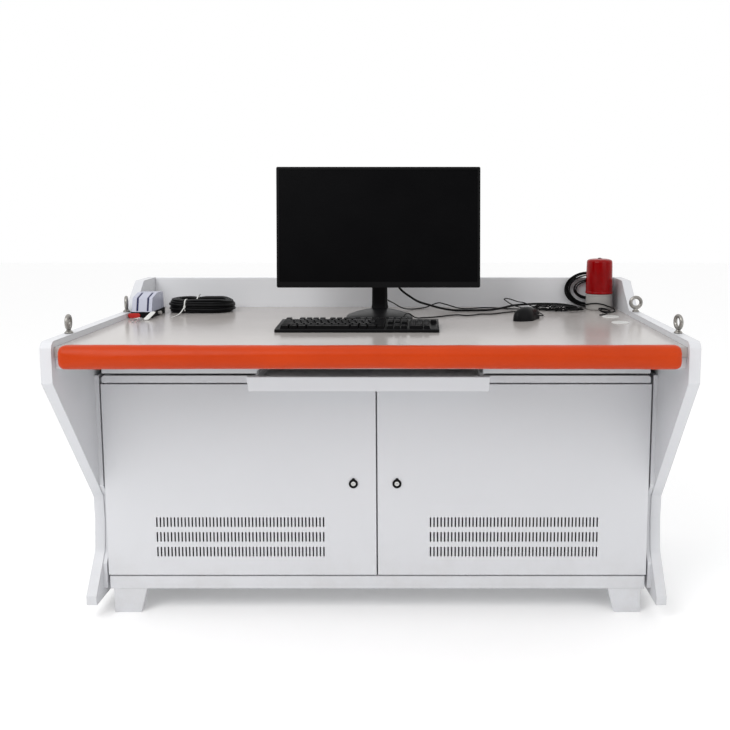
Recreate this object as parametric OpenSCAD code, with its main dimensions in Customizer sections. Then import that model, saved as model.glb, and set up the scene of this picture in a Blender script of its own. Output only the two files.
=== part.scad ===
// Operator's control desk of a power frequency test system.
// Desk coordinates: X = 0 is the middle of the desk, Y = 0 is the front edge of the
// side panels, Z = 0 is the floor. place() moves them to the part's own frame.

/* [Desk] */
// Width over the side panels
desk_w = 1600; // [1500:10:1800]
// Depth from the side panels' front edge to their rear edge
desk_d = 850; // [820:10:900]
// Height of the worktop's surface
worktop_z = 800; // [780:5:820]
// Height of the rear upstand and of the side panels' wings
rear_z = 900; // [880:5:930]
// Thickness of a sheet-metal wall
sheet = 2; // [1.5:0.5:2.5]
// Gap between pieces that seat on each other
seat = 0.3; // [0.2:0.05:0.4]

/* [Side panels] */
// Thickness of a side panel
side_t = 28; // [24:1:32]
// How far a side panel stands above the worktop
side_over = 15; // [10:1:20]
// Height of a side panel's lower edge above the floor
side_clear = 45; // [40:1:55]
// Height of the vertical front face, with its rounded corner
brow_h = 103; // [95:1:110]
// Radius of the corner between the front face and the top edge
brow_r = 20; // [12:1:26]
// How far the knee lies behind the front edge
knee_y = 288; // [280:1:296]
// Height of the knee
knee_z = 329; // [300:1:360]
// How far the toe's front face lies behind the front edge
toe_y = 206; // [190:1:220]
// Height of the toe's front face
toe_h = 26; // [20:1:32]
// Where the raised wing starts, behind the front edge
wing_y = 605; // [590:1:630]
// Length of the wing's slanting front edge along the panel
wing_run = 105; // [90:1:120]

/* [Worktop] */
// Height of the worktop's folded edge
worktop_t = 25; // [22:1:30]
// Thickness of the worktop's plate
worktop_plate = 3; // [2:0.5:4]
// Depth of the rear upstand from front to back
upstand_t = 22; // [20:1:26]
// Height of the tubes under the worktop
beam_h = 30; // [26:1:32]
// Diameter of the hole for the cables
port_d = 50; // [44:1:56]

/* [Armrest] */
// How far the armrest stands out in front of the side panels
armrest_out = 30; // [24:1:36]
// Height of the armrest
armrest_h = 62; // [56:1:66]
// How far the armrest's top stands above the worktop
armrest_proud = 12; // [8:1:14]
// Gap between an end of the armrest and the side panel
armrest_gap = 22; // [20:1:40]

/* [Cabinet] */
// Gap between the cabinet and a side panel
cab_gap = 20; // [18:1:30]
// How far the door faces lie behind the side panels' front edge
cab_y = 258; // [250:1:264]
// Height of the plinth's lower edge, which is the feet's height
foot_h = 70; // [60:1:80]
// Height of the plinth
plinth_h = 36; // [30:1:44]
// Height of the cabinet's top sheet
cab_top = 680; // [670:1:686]
// Height of the rail above the doors
rail_h = 20; // [18:1:26]
// Thickness of a door over its folded edges
door_t = 20; // [18:1:22]
// Gap between a door and what surrounds it
door_gap = 4; // [3:0.5:5]
// Width of the post between the doors
post_w = 60; // [56:1:66]
// Diameter of the doors' pivot pins
pivot_d = 8; // [6:0.5:9]
// Height of the locks above the floor
lock_z = 375; // [340:5:420]
// Diameter of a lock's outer ring
lock_d = 25; // [23:0.5:28]

/* [Ventilation] */
// Slots in one row
slot_n = 48; // [40:1:48]
// Rows of slots in one door
slot_rows = 3; // [2:1:3]
// Distance from slot to slot
slot_pitch = 9.9; // [9:0.1:10]
// Width of a slot
slot_w = 4; // [3:0.5:5]
// Height of a slot
slot_h = 28; // [24:1:32]
// Distance from row to row
row_pitch = 43; // [40:1:50]

/* [Drawer] */
// Width of the opening in the fascia
bay_w = 611; // [580:1:640]
// Distance of the drawer's middle from the desk's middle
bay_x = -14; // [-20:1:0]
// How far the drawer is pulled out
drawer_out = 104; // [90:2:130]
// Depth of the drawer's tray
tray_d = 400; // [360:10:420]
// Height of the slides
slide_h = 17; // [16:0.5:18]
// Thickness of a slide from hanger to tray
slide_t = 12.7; // [12:0.1:13.5]

/* [Lifting eyes] */
// Outer diameter of a ring
eye_d = 41.5; // [38:0.5:46]
// Diameter of a ring's bar
eye_bar = 10; // [8:0.5:11]
// Height of the neck under a ring
eye_neck = 8.5; // [6:0.5:12]
// Diameter of the shank
eye_shank = 10; // [8:0.5:12]
// Distances of the eyes behind the front edge
eye_front_y = 142; // [100:2:200]
// Distance of the rear eyes behind the front edge
eye_rear_y = 577; // [500:1:580]

/* [Screen] */
// Width of the screen's housing
screen_w = 607; // [540:1:620]
// Height of the screen's housing
screen_h = 359; // [320:1:366]
// Thickness of the housing at its edge
screen_t = 14; // [12:1:20]
// Height of the housing's lower edge above the worktop
screen_lift = 92; // [90:1:120]
// Angle by which the screen leans back
screen_lean = 5; // [0:1:10]
// How far the screen's face lies behind the desk's front edge
screen_y = 512; // [500:1:530]
// Width of the stand's column
column_w = 47; // [38:1:52]
// Width of the stand's domed foot
dome_w = 204; // [180:1:230]

/* [Keyboard and mouse] */
// Width of the keyboard
board_w = 447; // [440:1:456]
// Depth of the keyboard
board_d = 146; // [142:1:152]
// Distance from key to key
key_pitch = 19.05; // [18.8:0.05:19.2]
// Length of the mouse
mouse_l = 104; // [98:1:112]
// Width of the mouse
mouse_w = 60; // [56:1:64]
// Height of the mouse
mouse_h = 40; // [36:1:42]

/* [Beacon] */
// Diameter of the beacon's foot
beacon_d = 84; // [78:1:90]
// Height of the beacon's foot
beacon_foot_h = 54; // [46:1:60]
// Height of the red dome
beacon_dome_h = 115; // [100:1:120]
// Wall of the red dome
beacon_wall = 2.5; // [2:0.5:3]

/* [Hidden] */
$fn = 32;

white = [0.88, 0.88, 0.89];
inside_white = [0.82, 0.82, 0.83];
top_grey = [0.74, 0.73, 0.72];
black = [0.06, 0.06, 0.065];
steel = [0.62, 0.62, 0.63];

front_y = -(desk_d - armrest_out) / 2;
side_top = worktop_z + side_over;
brow_z = side_top - brow_h;
inner_w = desk_w - 2 * side_t;
cab_w = inner_w - 2 * cab_gap;
armrest_l = inner_w - 2 * armrest_gap;
top_w = inner_w - 2 * seat;
under_z = worktop_z - worktop_t;
beam_z = under_z - beam_h;
beam_d = 40;
upstand_y = desk_d - upstand_t;
rail_strip = 3;
armrest_back = 12;
top_y = armrest_back + rail_strip;
shell_y = cab_y + door_t + 9;
shell_back = desk_d - sheet;
door_low = foot_h + plinth_h + door_gap;
door_high = cab_top - rail_h - door_gap;
door_half = cab_w / 2 + 3;
jamb_w = 30;
jamb_gap = 5.5;
pivot_x = door_half - 12;
pivot_y = cab_y + door_t / 2;
pivot_play = 0.05;
lock_left_x = -65;
lock_right_x = 56;
bay_top = beam_z;
hanger_t = 3;
closed_gap = 0.7;
face_h = 43;
face_slope = 22;
face_t = 16;
port_x = inner_w / 2 - 142;
port_y = desk_d - 93;
port_lip = 3;

// Moves desk coordinates to the part's own frame.
module place() translate([0, front_y, 0]) children();

// Extrudes an outline given as [Y, Z] points along X, from x = 0 to x = length.
module along_x(length) rotate([90, 0, 90]) linear_extrude(height = length) children();

// Extrudes an outline given as [X, Z] points along Y, from y = 0 to y = depth.
module along_y(depth) translate([0, depth, 0]) rotate([90, 0, 0])
    linear_extrude(height = depth) children();

// A block given by its low and its high corner.
module block(low, high) translate(low) cube(high - low);

// The children and their mirror image in the desk's middle plane.
module both_sides() {
    children();
    mirror([1, 0, 0]) children();
}

function unit(v) = v / norm(v);
function turned(v) = [-v[1], v[0]];

// Points of one corner of an outline, rounded with radius r.
function corner(before, at, after, r, n) = r <= 0 ? [at] : let (
    a = unit(before - at), b = unit(after - at), half = acos(a * b) / 2,
    start = at + a * r / tan(half), end = at + b * r / tan(half),
    centre = at + unit(a + b) * r / sin(half))
    [for (i = [0 : n]) centre + r * unit((start - centre) * (1 - i / n) + (end - centre) * i / n)];

// An outline through points, with one corner radius for each of them.
function rounded(points, radii, n = 5) = let (count = len(points))
    [for (i = [0 : count - 1]) each corner(points[(i + count - 1) % count], points[i],
        points[(i + 1) % count], radii[i], n)];

// A counter-clockwise outline moved inwards by d.
function inset(points, d) = let (count = len(points))
    [for (i = [0 : count - 1]) let (
        n1 = turned(unit(points[i] - points[(i + count - 1) % count])),
        n2 = turned(unit(points[(i + 1) % count] - points[i])))
        points[i] + (n1 + n2) * d / (1 + n1 * n2)];

// A closed solid through rings of points, which run clockwise as seen from the last ring.
module loft(rings) {
    n = len(rings[0]);
    m = len(rings);
    polyhedron(points = [for (r = rings) each r],
        faces = concat([[for (i = [n - 1 : -1 : 0]) i]],
            [for (k = [0 : m - 2]) each [for (i = [0 : n - 1]) let (j = (i + 1) % n)
                each [[k * n + i, (k + 1) * n + j, (k + 1) * n + i],
                    [k * n + i, k * n + j, (k + 1) * n + j]]]],
            [[for (i = [0 : n - 1]) (m - 1) * n + i]]), convexity = 4);
}

// An ellipse of 2a by 2b at height z, as n points.
function ellipse(a, b, z, n = 32, y = 0) =
    [for (i = [0 : n - 1]) [a * cos(-360 * i / n), y + b * sin(-360 * i / n), z]];

// A tube of diameter d with n sides that follows the points of route.
module tube(route, d, n = 8) {
    last = len(route) - 1;
    way = [for (i = [0 : last]) unit(route[min(i + 1, last)] - route[max(i - 1, 0)])];
    square_to = function (v, t) unit(v - t * (v * t));
    seed = abs(way[0][2]) > 0.8 ? [1, 0, 0] : [0, 0, 1];
    sides = [for (i = 0, v = square_to(seed, way[0]); i <= last;
        i = i + 1, v = square_to(v, way[min(i, last)])) v];
    loft([for (i = [0 : last]) [for (k = [0 : n - 1]) let (a = -360 * k / n)
        route[i] + d / 2 * (cos(a) * sides[i] + sin(a) * cross(way[i], sides[i]))]]);
}

// The side panels
side_points = [[0, brow_z], [knee_y, knee_z], [knee_y + 4, knee_z - 70],
    [knee_y - 6, knee_z - 157], [toe_y, side_clear + toe_h], [toe_y, side_clear],
    [desk_d, side_clear], [desk_d, rear_z], [wing_y + wing_run, rear_z],
    [wing_y, side_top], [0, side_top]];
side_radii = [6, 14, 60, 40, 8, 3, 3, 6, 16, 6, brow_r];
side_outline = rounded(side_points, side_radii);
pocket_outline = inset(side_outline, sheet);
liner_t = sheet;
eye_places = [eye_front_y, eye_rear_y];
nut_h = 9;
nut_flats = 17;

module side_shell() {
    difference() {
        translate([desk_w / 2 - side_t, 0, 0]) along_x(side_t) polygon(side_outline);
        translate([desk_w / 2 - side_t - 1, 0, 0]) along_x(side_t + 1 - sheet) polygon(pocket_outline);
        for (y = eye_places) translate([desk_w / 2 - side_t / 2, y, side_top - sheet - 1])
            cylinder(d = eye_shank + 0.1, h = sheet + 2);
    }
    // Square stiffeners that carry the liner.
    for (y = [knee_y + 50, desk_d - 60])
        block([desk_w / 2 - side_t + liner_t, y, side_clear + 40],
            [desk_w / 2 - sheet, y + side_t - 2 * sheet, side_top - 90]);
    // Weld nuts under the top edge, for the lifting eyes.
    for (y = eye_places) translate([desk_w / 2 - side_t / 2, y, side_top - sheet - nut_h])
        difference() {
            cylinder(d = nut_flats / cos(30), h = nut_h, $fn = 6);
            translate([0, 0, -1]) cylinder(d = eye_shank + 0.1, h = nut_h + 2);
        }
}

module side_liner() {
    translate([inner_w / 2, 0, 0]) along_x(liner_t) polygon(inset(side_outline, sheet + seat));
    // The jamb strip, which closes the gap beside the door.
    translate([door_half + jamb_gap, 0, 0]) along_x(inner_w / 2 + liner_t / 2 - door_half - jamb_gap)
        intersection() {
            polygon(inset(side_outline, sheet + seat));
            translate([cab_y + 4, foot_h]) square([36, cab_top - foot_h]);
        }
}

module left_side_shell() place() color(white) mirror([1, 0, 0]) side_shell();
module right_side_shell() place() color(white) side_shell();
module side_liners() place() color(white) both_sides() side_liner();

// The worktop: a folded tray with hat stiffeners, open underneath.
hat_w = 30;
hats = [top_y + 10, cab_y - 4, 520, upstand_y - 45];
cover_x = inner_w / 2 - 64;
cover_places = [445, 574];
cover_d = 52;

module hat() along_x(top_w - 2 * sheet - 20) polygon([[0, under_z], [hat_w, under_z],
    [hat_w, worktop_z - worktop_plate], [hat_w - sheet, worktop_z - worktop_plate],
    [hat_w - sheet, under_z + sheet], [sheet, under_z + sheet],
    [sheet, worktop_z - worktop_plate], [0, worktop_z - worktop_plate]]);

module worktop() place() color(top_grey) difference() {
    union() {
        difference() {
            block([-top_w / 2, top_y, under_z], [top_w / 2, upstand_y - seat, worktop_z]);
            block([-top_w / 2 + sheet, top_y + sheet, under_z - 1],
                [top_w / 2 - sheet, upstand_y - seat - sheet, worktop_z - worktop_plate]);
        }
        for (y = hats) translate([-(top_w - 2 * sheet - 20) / 2, y, 0]) hat();
    }
    translate([port_x, port_y, under_z - 1]) cylinder(d = port_d, h = worktop_t + 2);
    for (y = cover_places) translate([cover_x, y, worktop_z - worktop_plate - 1])
        cylinder(d = cover_d - 8, h = worktop_plate + 2);
}

module hole_covers() place() color(white) for (y = cover_places)
    translate([cover_x, y, worktop_z]) rotate_extrude()
        polygon([[0, 0], [cover_d / 2, 0], [cover_d / 2, 0.8], [cover_d / 2 - 2.5, 2.4], [0, 2.8]]);

module cable_bushing() place() color(black) translate([port_x, port_y, worktop_z])
    rotate_extrude() polygon([[port_d / 2 - seat, -worktop_t - 2], [port_d / 2 - seat, 0],
        [port_d / 2 + 4, 0], [port_d / 2 + 3, port_lip], [port_d / 2 - 2, port_lip],
        [port_d / 2 - seat - 2, 1], [port_d / 2 - seat - 2, -worktop_t - 2]]);

// The rear upstand: folded sheet, open at the back of its foot.
module rear_upstand() place() color(white) translate([-top_w / 2, 0, 0]) along_x(top_w)
    polygon(concat(
        rounded([[upstand_y, cab_top + seat], [upstand_y + sheet, cab_top + seat],
            [upstand_y + sheet, rear_z - sheet], [desk_d - sheet, rear_z - sheet],
            [desk_d - sheet, cab_top + seat + 12], [upstand_y + sheet + 4, cab_top + seat + 12],
            [upstand_y + sheet + 4, cab_top + seat + 10], [desk_d, cab_top + seat + 10],
            [desk_d, rear_z], [upstand_y, rear_z]], [0, 0, 0, 0, 0, 0, 0, 0, 3, 3])));

// The padded armrest and the strip that holds it.
armrest_outline = let (top = worktop_z + armrest_proud, low = top - armrest_h)
    rounded([[armrest_back - seat, top - 3], [armrest_back - seat, low],
        [-armrest_out, low], [-armrest_out, top]], [3, 4, 16, 22], 6);

module armrest() place() color([0.78, 0.22, 0.03])
    translate([-armrest_l / 2, 0, 0]) along_x(armrest_l) polygon(armrest_outline);

module armrest_rail() place() color(steel) difference() {
    block([-armrest_l / 2 + 20, armrest_back, under_z + 3],
        [armrest_l / 2 - 20, top_y - seat, worktop_z - 3]);
    for (k = [-2 : 2]) translate([k * armrest_l / 5, armrest_back - 1, worktop_z - worktop_t / 2])
        rotate([-90, 0, 0]) cylinder(d = 6, h = rail_strip + 2);
}

// The tubes under the worktop
tube_w = 20;
module hollow_x(length, y, z, d, h, wall) translate([-length / 2, y, z]) difference() {
    cube([length, d, h]);
    translate([-1, wall, wall]) cube([length + 2, d - 2 * wall, h - 2 * wall]);
}

module underframe() place() color(white) {
    hollow_x(inner_w - 2 * seat, top_y + 6, beam_z, beam_d, beam_h, sheet);
    hollow_x(inner_w - 2 * seat, upstand_y - beam_d - 6, beam_z, beam_d, beam_h, sheet);
    for (x = [-inner_w / 2 + seat, inner_w / 2 - seat - tube_w]) difference() {
        block([x, top_y + 6 + beam_d, beam_z], [x + tube_w, upstand_y - beam_d - 6, under_z]);
        block([x + sheet, top_y + 6 + beam_d - 1, beam_z + sheet],
            [x + tube_w - sheet, upstand_y - beam_d - 5, under_z - sheet]);
    }
}

// The panel above the doors, with the opening of the drawer.
rail_gap = 6;
fascia_low = cab_top + rail_gap;
module drawer_fascia() place() color(white) difference() {
    block([-inner_w / 2 + seat + tube_w + 1, cab_y, fascia_low],
        [inner_w / 2 - seat - tube_w - 1, cab_y + sheet, under_z - seat]);
    block([bay_x - bay_w / 2, cab_y - 1, fascia_low - 1],
        [bay_x + bay_w / 2, cab_y + sheet + 1, bay_top]);
}

// The cabinet
module cabinet_shell() place() color(white) cabinet_body();

module cabinet_body() difference() {
    block([-cab_w / 2, shell_y, foot_h + plinth_h], [cab_w / 2, shell_back, cab_top]);
    block([-cab_w / 2 + sheet, shell_y + sheet, foot_h + plinth_h + sheet],
        [cab_w / 2 - sheet, shell_back - sheet, cab_top - sheet]);
    block([-cab_w / 2 + jamb_w, shell_y - 1, door_low - door_gap + sheet],
        [cab_w / 2 - jamb_w, shell_y + sheet + 1, door_high]);
    block([-cab_w / 2 + jamb_w, shell_back - sheet - 1, foot_h + plinth_h + 24],
        [cab_w / 2 - jamb_w, shell_back + 1, cab_top - 24]);
    translate([port_x, port_y, cab_top - sheet - 1]) cylinder(d = port_d, h = sheet + 2);
    for (x = [-vent_x, vent_x]) translate([x, vent_y, foot_h + plinth_h - 1])
        cylinder(d = 60, h = sheet + 2);
}
vent_x = cab_w / 2 - 252;
vent_y = 560;

module pivot_holes(z) both_sides() translate([pivot_x, pivot_y, z])
    cylinder(d = pivot_d + 2 * pivot_play, h = sheet + 2);

// The rail above the doors and the post between them, behind which the cams turn in.
rail_outline = rounded([[-cab_w / 2, cab_top - rail_h], [cab_w / 2, cab_top - rail_h],
    [cab_w / 2, cab_top], [-cab_w / 2, cab_top]], [0, 0, 8, 8]);
post_low = foot_h + plinth_h + sheet;
web_x = 8;
web_d = 20;
module front_frame() place() color(white) {
    difference() {
        translate([0, cab_y, 0]) along_y(shell_y - cab_y) polygon(rail_outline);
        translate([0, cab_y + sheet, 0]) along_y(shell_y - cab_y) polygon(inset(rail_outline, sheet));
        pivot_holes(cab_top - rail_h - 1);
    }
    block([-post_w / 2, shell_y, post_low], [post_w / 2, shell_y + sheet, door_high]);
    both_sides() block([web_x, shell_y + sheet + seat, post_low],
        [web_x + sheet, shell_y + sheet + web_d, door_high]);
}

module plinth() place() color(white) difference() {
    block([-cab_w / 2, cab_y, foot_h], [cab_w / 2, shell_back, foot_h + plinth_h]);
    block([-cab_w / 2 + sheet, cab_y + sheet, foot_h + sheet],
        [cab_w / 2 - sheet, shell_back - sheet, foot_h + plinth_h - sheet]);
    block([-cab_w / 2 + 70, cab_y + 50, foot_h - 1],
        [cab_w / 2 - 70, shell_back - 50, foot_h + plinth_h + 1]);
    block([-cab_w / 2 + 40, shell_y + 10, foot_h + plinth_h - sheet - 1],
        [cab_w / 2 - 40, shell_back - 40, foot_h + plinth_h + 1]);
    pivot_holes(foot_h + plinth_h - sheet - 1);
}

// A foot: folded sheet with an upright outer side and a slanting inner side.
foot_top_w = 93;
foot_low_w = 75;
foot_d = 18;
foot_x = cab_w / 2 - 10;
foot_wall = 3;
module foot() translate([foot_x, 0, 0]) difference() {
    along_y(foot_d) polygon(rounded([[0, 0], [0, foot_h], [-foot_top_w, foot_h], [-foot_low_w, 0]],
        [0, 0, 0, 6]));
    translate([0, foot_wall, 0]) along_y(foot_d) polygon(inset(rounded([[0, 0], [0, foot_h],
        [-foot_top_w, foot_h], [-foot_low_w, 0]], [0, 0, 0, 6]), foot_wall));
}

module feet() place() color(white) both_sides() {
    translate([0, cab_y, 0]) foot();
    translate([0, shell_back, 0]) mirror([0, 1, 0]) foot();
}

module side_spacers() place() color(steel) both_sides() for (y = [knee_y + 42, desk_d - 70])
    for (z = [side_clear + 115, cab_top - 60]) translate([cab_w / 2, y, z]) rotate([0, 90, 0]) difference() {
        cylinder(d = 30, h = inner_w / 2 - cab_w / 2);
        translate([0, 0, -1]) cylinder(d = 10.5, h = inner_w / 2 - cab_w / 2 + 2);
    }

// The rear cover, with rows of vents and the hole for the supply cable's gland.
gland_d = 40;
gland_x = -cab_w / 2 + 152;
gland_z = foot_h + 100;
grille_x = cab_w / 2 - 322;
grille_z = cab_top - 200;
module rear_cover() place() color(white) difference() {
    block([-cab_w / 2, shell_back, foot_h + plinth_h], [cab_w / 2, desk_d, cab_top]);
    for (side = [-1, 1]) for (row = [0 : 7]) for (k = [0 : 4])
        translate([side * grille_x + (k - 2) * 62, shell_back - 1, grille_z + row * 14])
            along_y(sheet + 2) polygon(rounded([[-25, -3], [25, -3], [25, 3], [-25, 3]],
                [2.9, 2.9, 2.9, 2.9], 2));
    translate([gland_x, shell_back - 1, gland_z]) rotate([-90, 0, 0])
        cylinder(d = gland_d, h = sheet + 2);
}

pin_head = 12;
module door_pivots() place() color(steel) both_sides() translate([pivot_x, pivot_y, 0]) {
    translate([0, 0, door_high - 8]) cylinder(d = pivot_d, h = rail_h - 4);
    translate([0, 0, cab_top - rail_h + sheet]) cylinder(d = pin_head, h = 3);
    translate([0, 0, foot_h + plinth_h - 10]) cylinder(d = pivot_d, h = 18 + door_gap);
    translate([0, 0, foot_h + plinth_h - sheet - 3]) cylinder(d = pin_head, h = 3);
}

// A door, drawn for the right-hand side and mirrored for the left.
door_wall = 1.5;
slot_z = door_low + 111;
slots_x = door_half / 2 + 4.5;
half_gap = 2;
module slot_rows_2d() for (row = [0 : slot_rows - 1]) for (k = [0 : slot_n - 1])
    translate([slots_x + (k - (slot_n - 1) / 2) * slot_pitch,
        slot_z + (row - (slot_rows - 1) / 2) * row_pitch])
        polygon([[-slot_w / 2, 1 - slot_h / 2], [1 - slot_w / 2, -slot_h / 2],
            [slot_w / 2 - 1, -slot_h / 2], [slot_w / 2, 1 - slot_h / 2], [slot_w / 2, slot_h / 2 - 1],
            [slot_w / 2 - 1, slot_h / 2], [1 - slot_w / 2, slot_h / 2], [-slot_w / 2, slot_h / 2 - 1]]);

barrel_d = 19;
module door(lock_x) {
    translate([0, cab_y, 0]) along_y(door_wall) difference() {
        polygon([[half_gap, door_low], [door_half, door_low], [door_half, door_high],
            [half_gap, door_high]]);
        slot_rows_2d();
        translate([lock_x, lock_z]) circle(d = barrel_d + 0.2);
    }
    difference() {
        block([half_gap, cab_y + door_wall, door_low], [door_half, cab_y + door_t, door_high]);
        block([half_gap + door_wall, cab_y, door_low + door_wall],
            [door_half - door_wall, cab_y + door_t - door_wall, door_high - door_wall]);
        block([half_gap + 12, cab_y + door_t - door_wall - 1, door_low + 12],
            [door_half - 22, cab_y + door_t + 1, door_high - 12]);
        for (z = [door_low - 1, door_high - door_wall - 1]) translate([pivot_x, pivot_y, z])
            cylinder(d = pivot_d + 2 * pivot_play, h = door_wall + 2);
    }
    // Stiffener behind the front sheet, on the lock's side.
    block([half_gap + 95, cab_y + door_wall, door_low + 12 + 160],
        [half_gap + 125, cab_y + door_t - 4, door_high - 40]);
}

module left_door() place() color(white) mirror([1, 0, 0]) door(-lock_left_x);
module right_door() place() color(white) door(lock_right_x);

// A cam lock: ring and barrel stay in the door, core and cam turn together.
ring_t = 3;
barrel_l = 31;
core_d = 13;
cam_l = 50;
cam_t = 2.5;
module lock_body(x) translate([x, cab_y, lock_z]) rotate([-90, 0, 0]) difference() {
    union() {
        translate([0, 0, -ring_t]) cylinder(d = lock_d, h = ring_t);
        cylinder(d = barrel_d, h = barrel_l);
        translate([0, -lock_d / 2 + 1, -ring_t]) cylinder(d = 9, h = ring_t);
        translate([0, 0, door_wall + 0.1]) cylinder(d = lock_d, h = 4, $fn = 6);
    }
    translate([0, 0, -ring_t - 1]) cylinder(d = core_d, h = barrel_l + ring_t + 2);
}

module lock_cam(x) translate([x, cab_y, lock_z]) rotate([-90, 0, 0]) {
    translate([0, 0, 1 - ring_t]) difference() {
        cylinder(d = core_d - 0.1, h = barrel_l + ring_t);
        translate([-4, -0.8, -1]) cube([8, 1.6, 3]);
    }
    translate([0, 0, barrel_l + 1]) linear_extrude(height = cam_t) polygon(rounded(
        [[-8, -8], [8, -8], [8, cam_l - 8], [-8, cam_l - 8]], [7, 7, 4, 4]));
    translate([0, 0, barrel_l + 1 + cam_t]) cylinder(d = 11, h = 4, $fn = 6);
}

module left_lock() place() color(black) lock_body(lock_left_x);
module right_lock() place() color(black) lock_body(lock_right_x);
module left_lock_cam() place() color(steel) lock_cam(lock_left_x);
module right_lock_cam() place() color(steel) lock_cam(lock_right_x);

// The drawer, hung on telescopic slides between two plates.
hang_x = bay_w / 2;
slide_wall = 1.5;
slide_play = 0.3;
slide_z = cab_top + 5 + slide_h / 2;
slide_l = tray_d - 10;
slide_in = 2 * (slide_wall + slide_play);
rest_y = cab_y - closed_gap - face_slope - 2 - drawer_out;
tray_y = rest_y;
tray_w = bay_w - 2 * slide_t;
tray_z = cab_top + 2;
tray_top = slide_z + slide_h / 2;
face_top = tray_top + 1;
middle_y = cab_y + sheet + 2 - drawer_out / 2;

// A channel along Y that is open towards -X, between half heights.
module channel(y, length, x0, x1, half) translate([0, y, slide_z]) difference() {
    block([x0, 0, -half], [x1, length, half]);
    block([x0 - 1, -1, -half + slide_wall], [x1 - slide_wall, length + 1, half - slide_wall]);
}

module bay_sides() translate([bay_x, 0, 0]) both_sides() children();

module drawer_hangers() place() color(steel) bay_sides() {
    difference() {
        block([hang_x, cab_y + sheet + 2, fascia_low - 5],
            [hang_x + 20, cab_y + sheet + 2 + tray_d, under_z]);
        block([hang_x + hanger_t, cab_y, fascia_low - 6], [hang_x + 21, desk_d, under_z - hanger_t]);
    }
    channel(cab_y + sheet + 2, slide_l, hang_x - slide_t + 1, hang_x, slide_h / 2);
}

module slide_middles() place() color(steel) bay_sides()
    channel(middle_y, slide_l, hang_x - slide_t + 1, hang_x - slide_wall - slide_play,
        slide_h / 2 - slide_wall - slide_play);

module drawer_tray() place() color(white) {
    // Slide members fixed to the tray's sides.
    bay_sides() block([hang_x - slide_t, tray_y + face_t + 6, slide_z - slide_h / 2 + slide_in],
        [hang_x - slide_in, tray_y + face_t + slide_l - 4, slide_z + slide_h / 2 - slide_in]);
    translate([bay_x, 0, 0]) difference() {
        block([-tray_w / 2, tray_y + face_t, tray_z], [tray_w / 2, tray_y + face_t + tray_d, tray_top]);
        block([-tray_w / 2 + sheet, tray_y + face_t + sheet, tray_z + sheet],
            [tray_w / 2 - sheet, tray_y + face_t + tray_d - sheet, tray_top + 1]);
    }
    // The sloping front with its folded top edge.
    translate([bay_x - bay_w / 2 - 9, 0, 0]) along_x(bay_w + 18)
        polygon([[tray_y, face_top], [tray_y, face_top - 2], [tray_y + face_slope, face_top - face_h],
            [tray_y + face_slope + 2, face_top - face_h], [tray_y + 3, face_top - 2],
            [tray_y + face_t, face_top - 2], [tray_y + face_t, face_top]]);
}

// A lifting eye: ring, collar and shank.
eye_collar_d = 22;
eye_collar_h = 4;
eye_z = eye_neck + eye_d / 2;
module lifting_eye(turn) rotate([0, 0, turn]) {
    translate([0, 0, eye_z]) rotate([0, 90, 0]) rotate_extrude($fn = 48)
        translate([(eye_d - eye_bar) / 2, 0]) circle(d = eye_bar, $fn = 20);
    cylinder(d = eye_collar_d, h = eye_collar_h);
    translate([0, 0, eye_collar_h]) cylinder(d1 = eye_collar_d - 3, d2 = eye_bar + 1, h = eye_neck - 1);
    translate([0, 0, -sheet - nut_h - 1]) cylinder(d = eye_shank, h = sheet + nut_h + 3);
}

module lifting_eyes() place() color(steel)
    for (e = [[-1, eye_front_y, 6], [-1, eye_rear_y, 15], [1, eye_front_y, 12], [1, eye_rear_y, 88]])
        translate([e[0] * (desk_w - side_t) / 2, e[1], side_top]) lifting_eye(e[2]);

// What the cabinet holds
plate_y = shell_back - 40;
plate_low = foot_h + 120;
plate_high = cab_top - 40;
plate_side = cab_w / 2 - 14;
rail_zs = [cab_top - 160, cab_top - 300];
hole_in = 78;
hole_up = 25;
module mounting_plate() place() color([0.75, 0.76, 0.77]) {
    difference() {
        block([-plate_side, plate_y, plate_low], [plate_side, plate_y + 2.5, plate_high]);
        for (x = [hole_in - plate_side, plate_side - hole_in])
            for (z = [plate_low + hole_up, plate_high - hole_up])
                translate([x, plate_y - 1, z]) rotate([-90, 0, 0]) cylinder(d = 9, h = 5);
    }
    // Feet that stand the plate off the rear flanges.
    for (x = [-plate_side, plate_side - 16]) for (z = [plate_low, plate_high - 30])
        block([x, plate_y + 2.5, z], [x + 16, shell_back - sheet, z + 30]);
}

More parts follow.
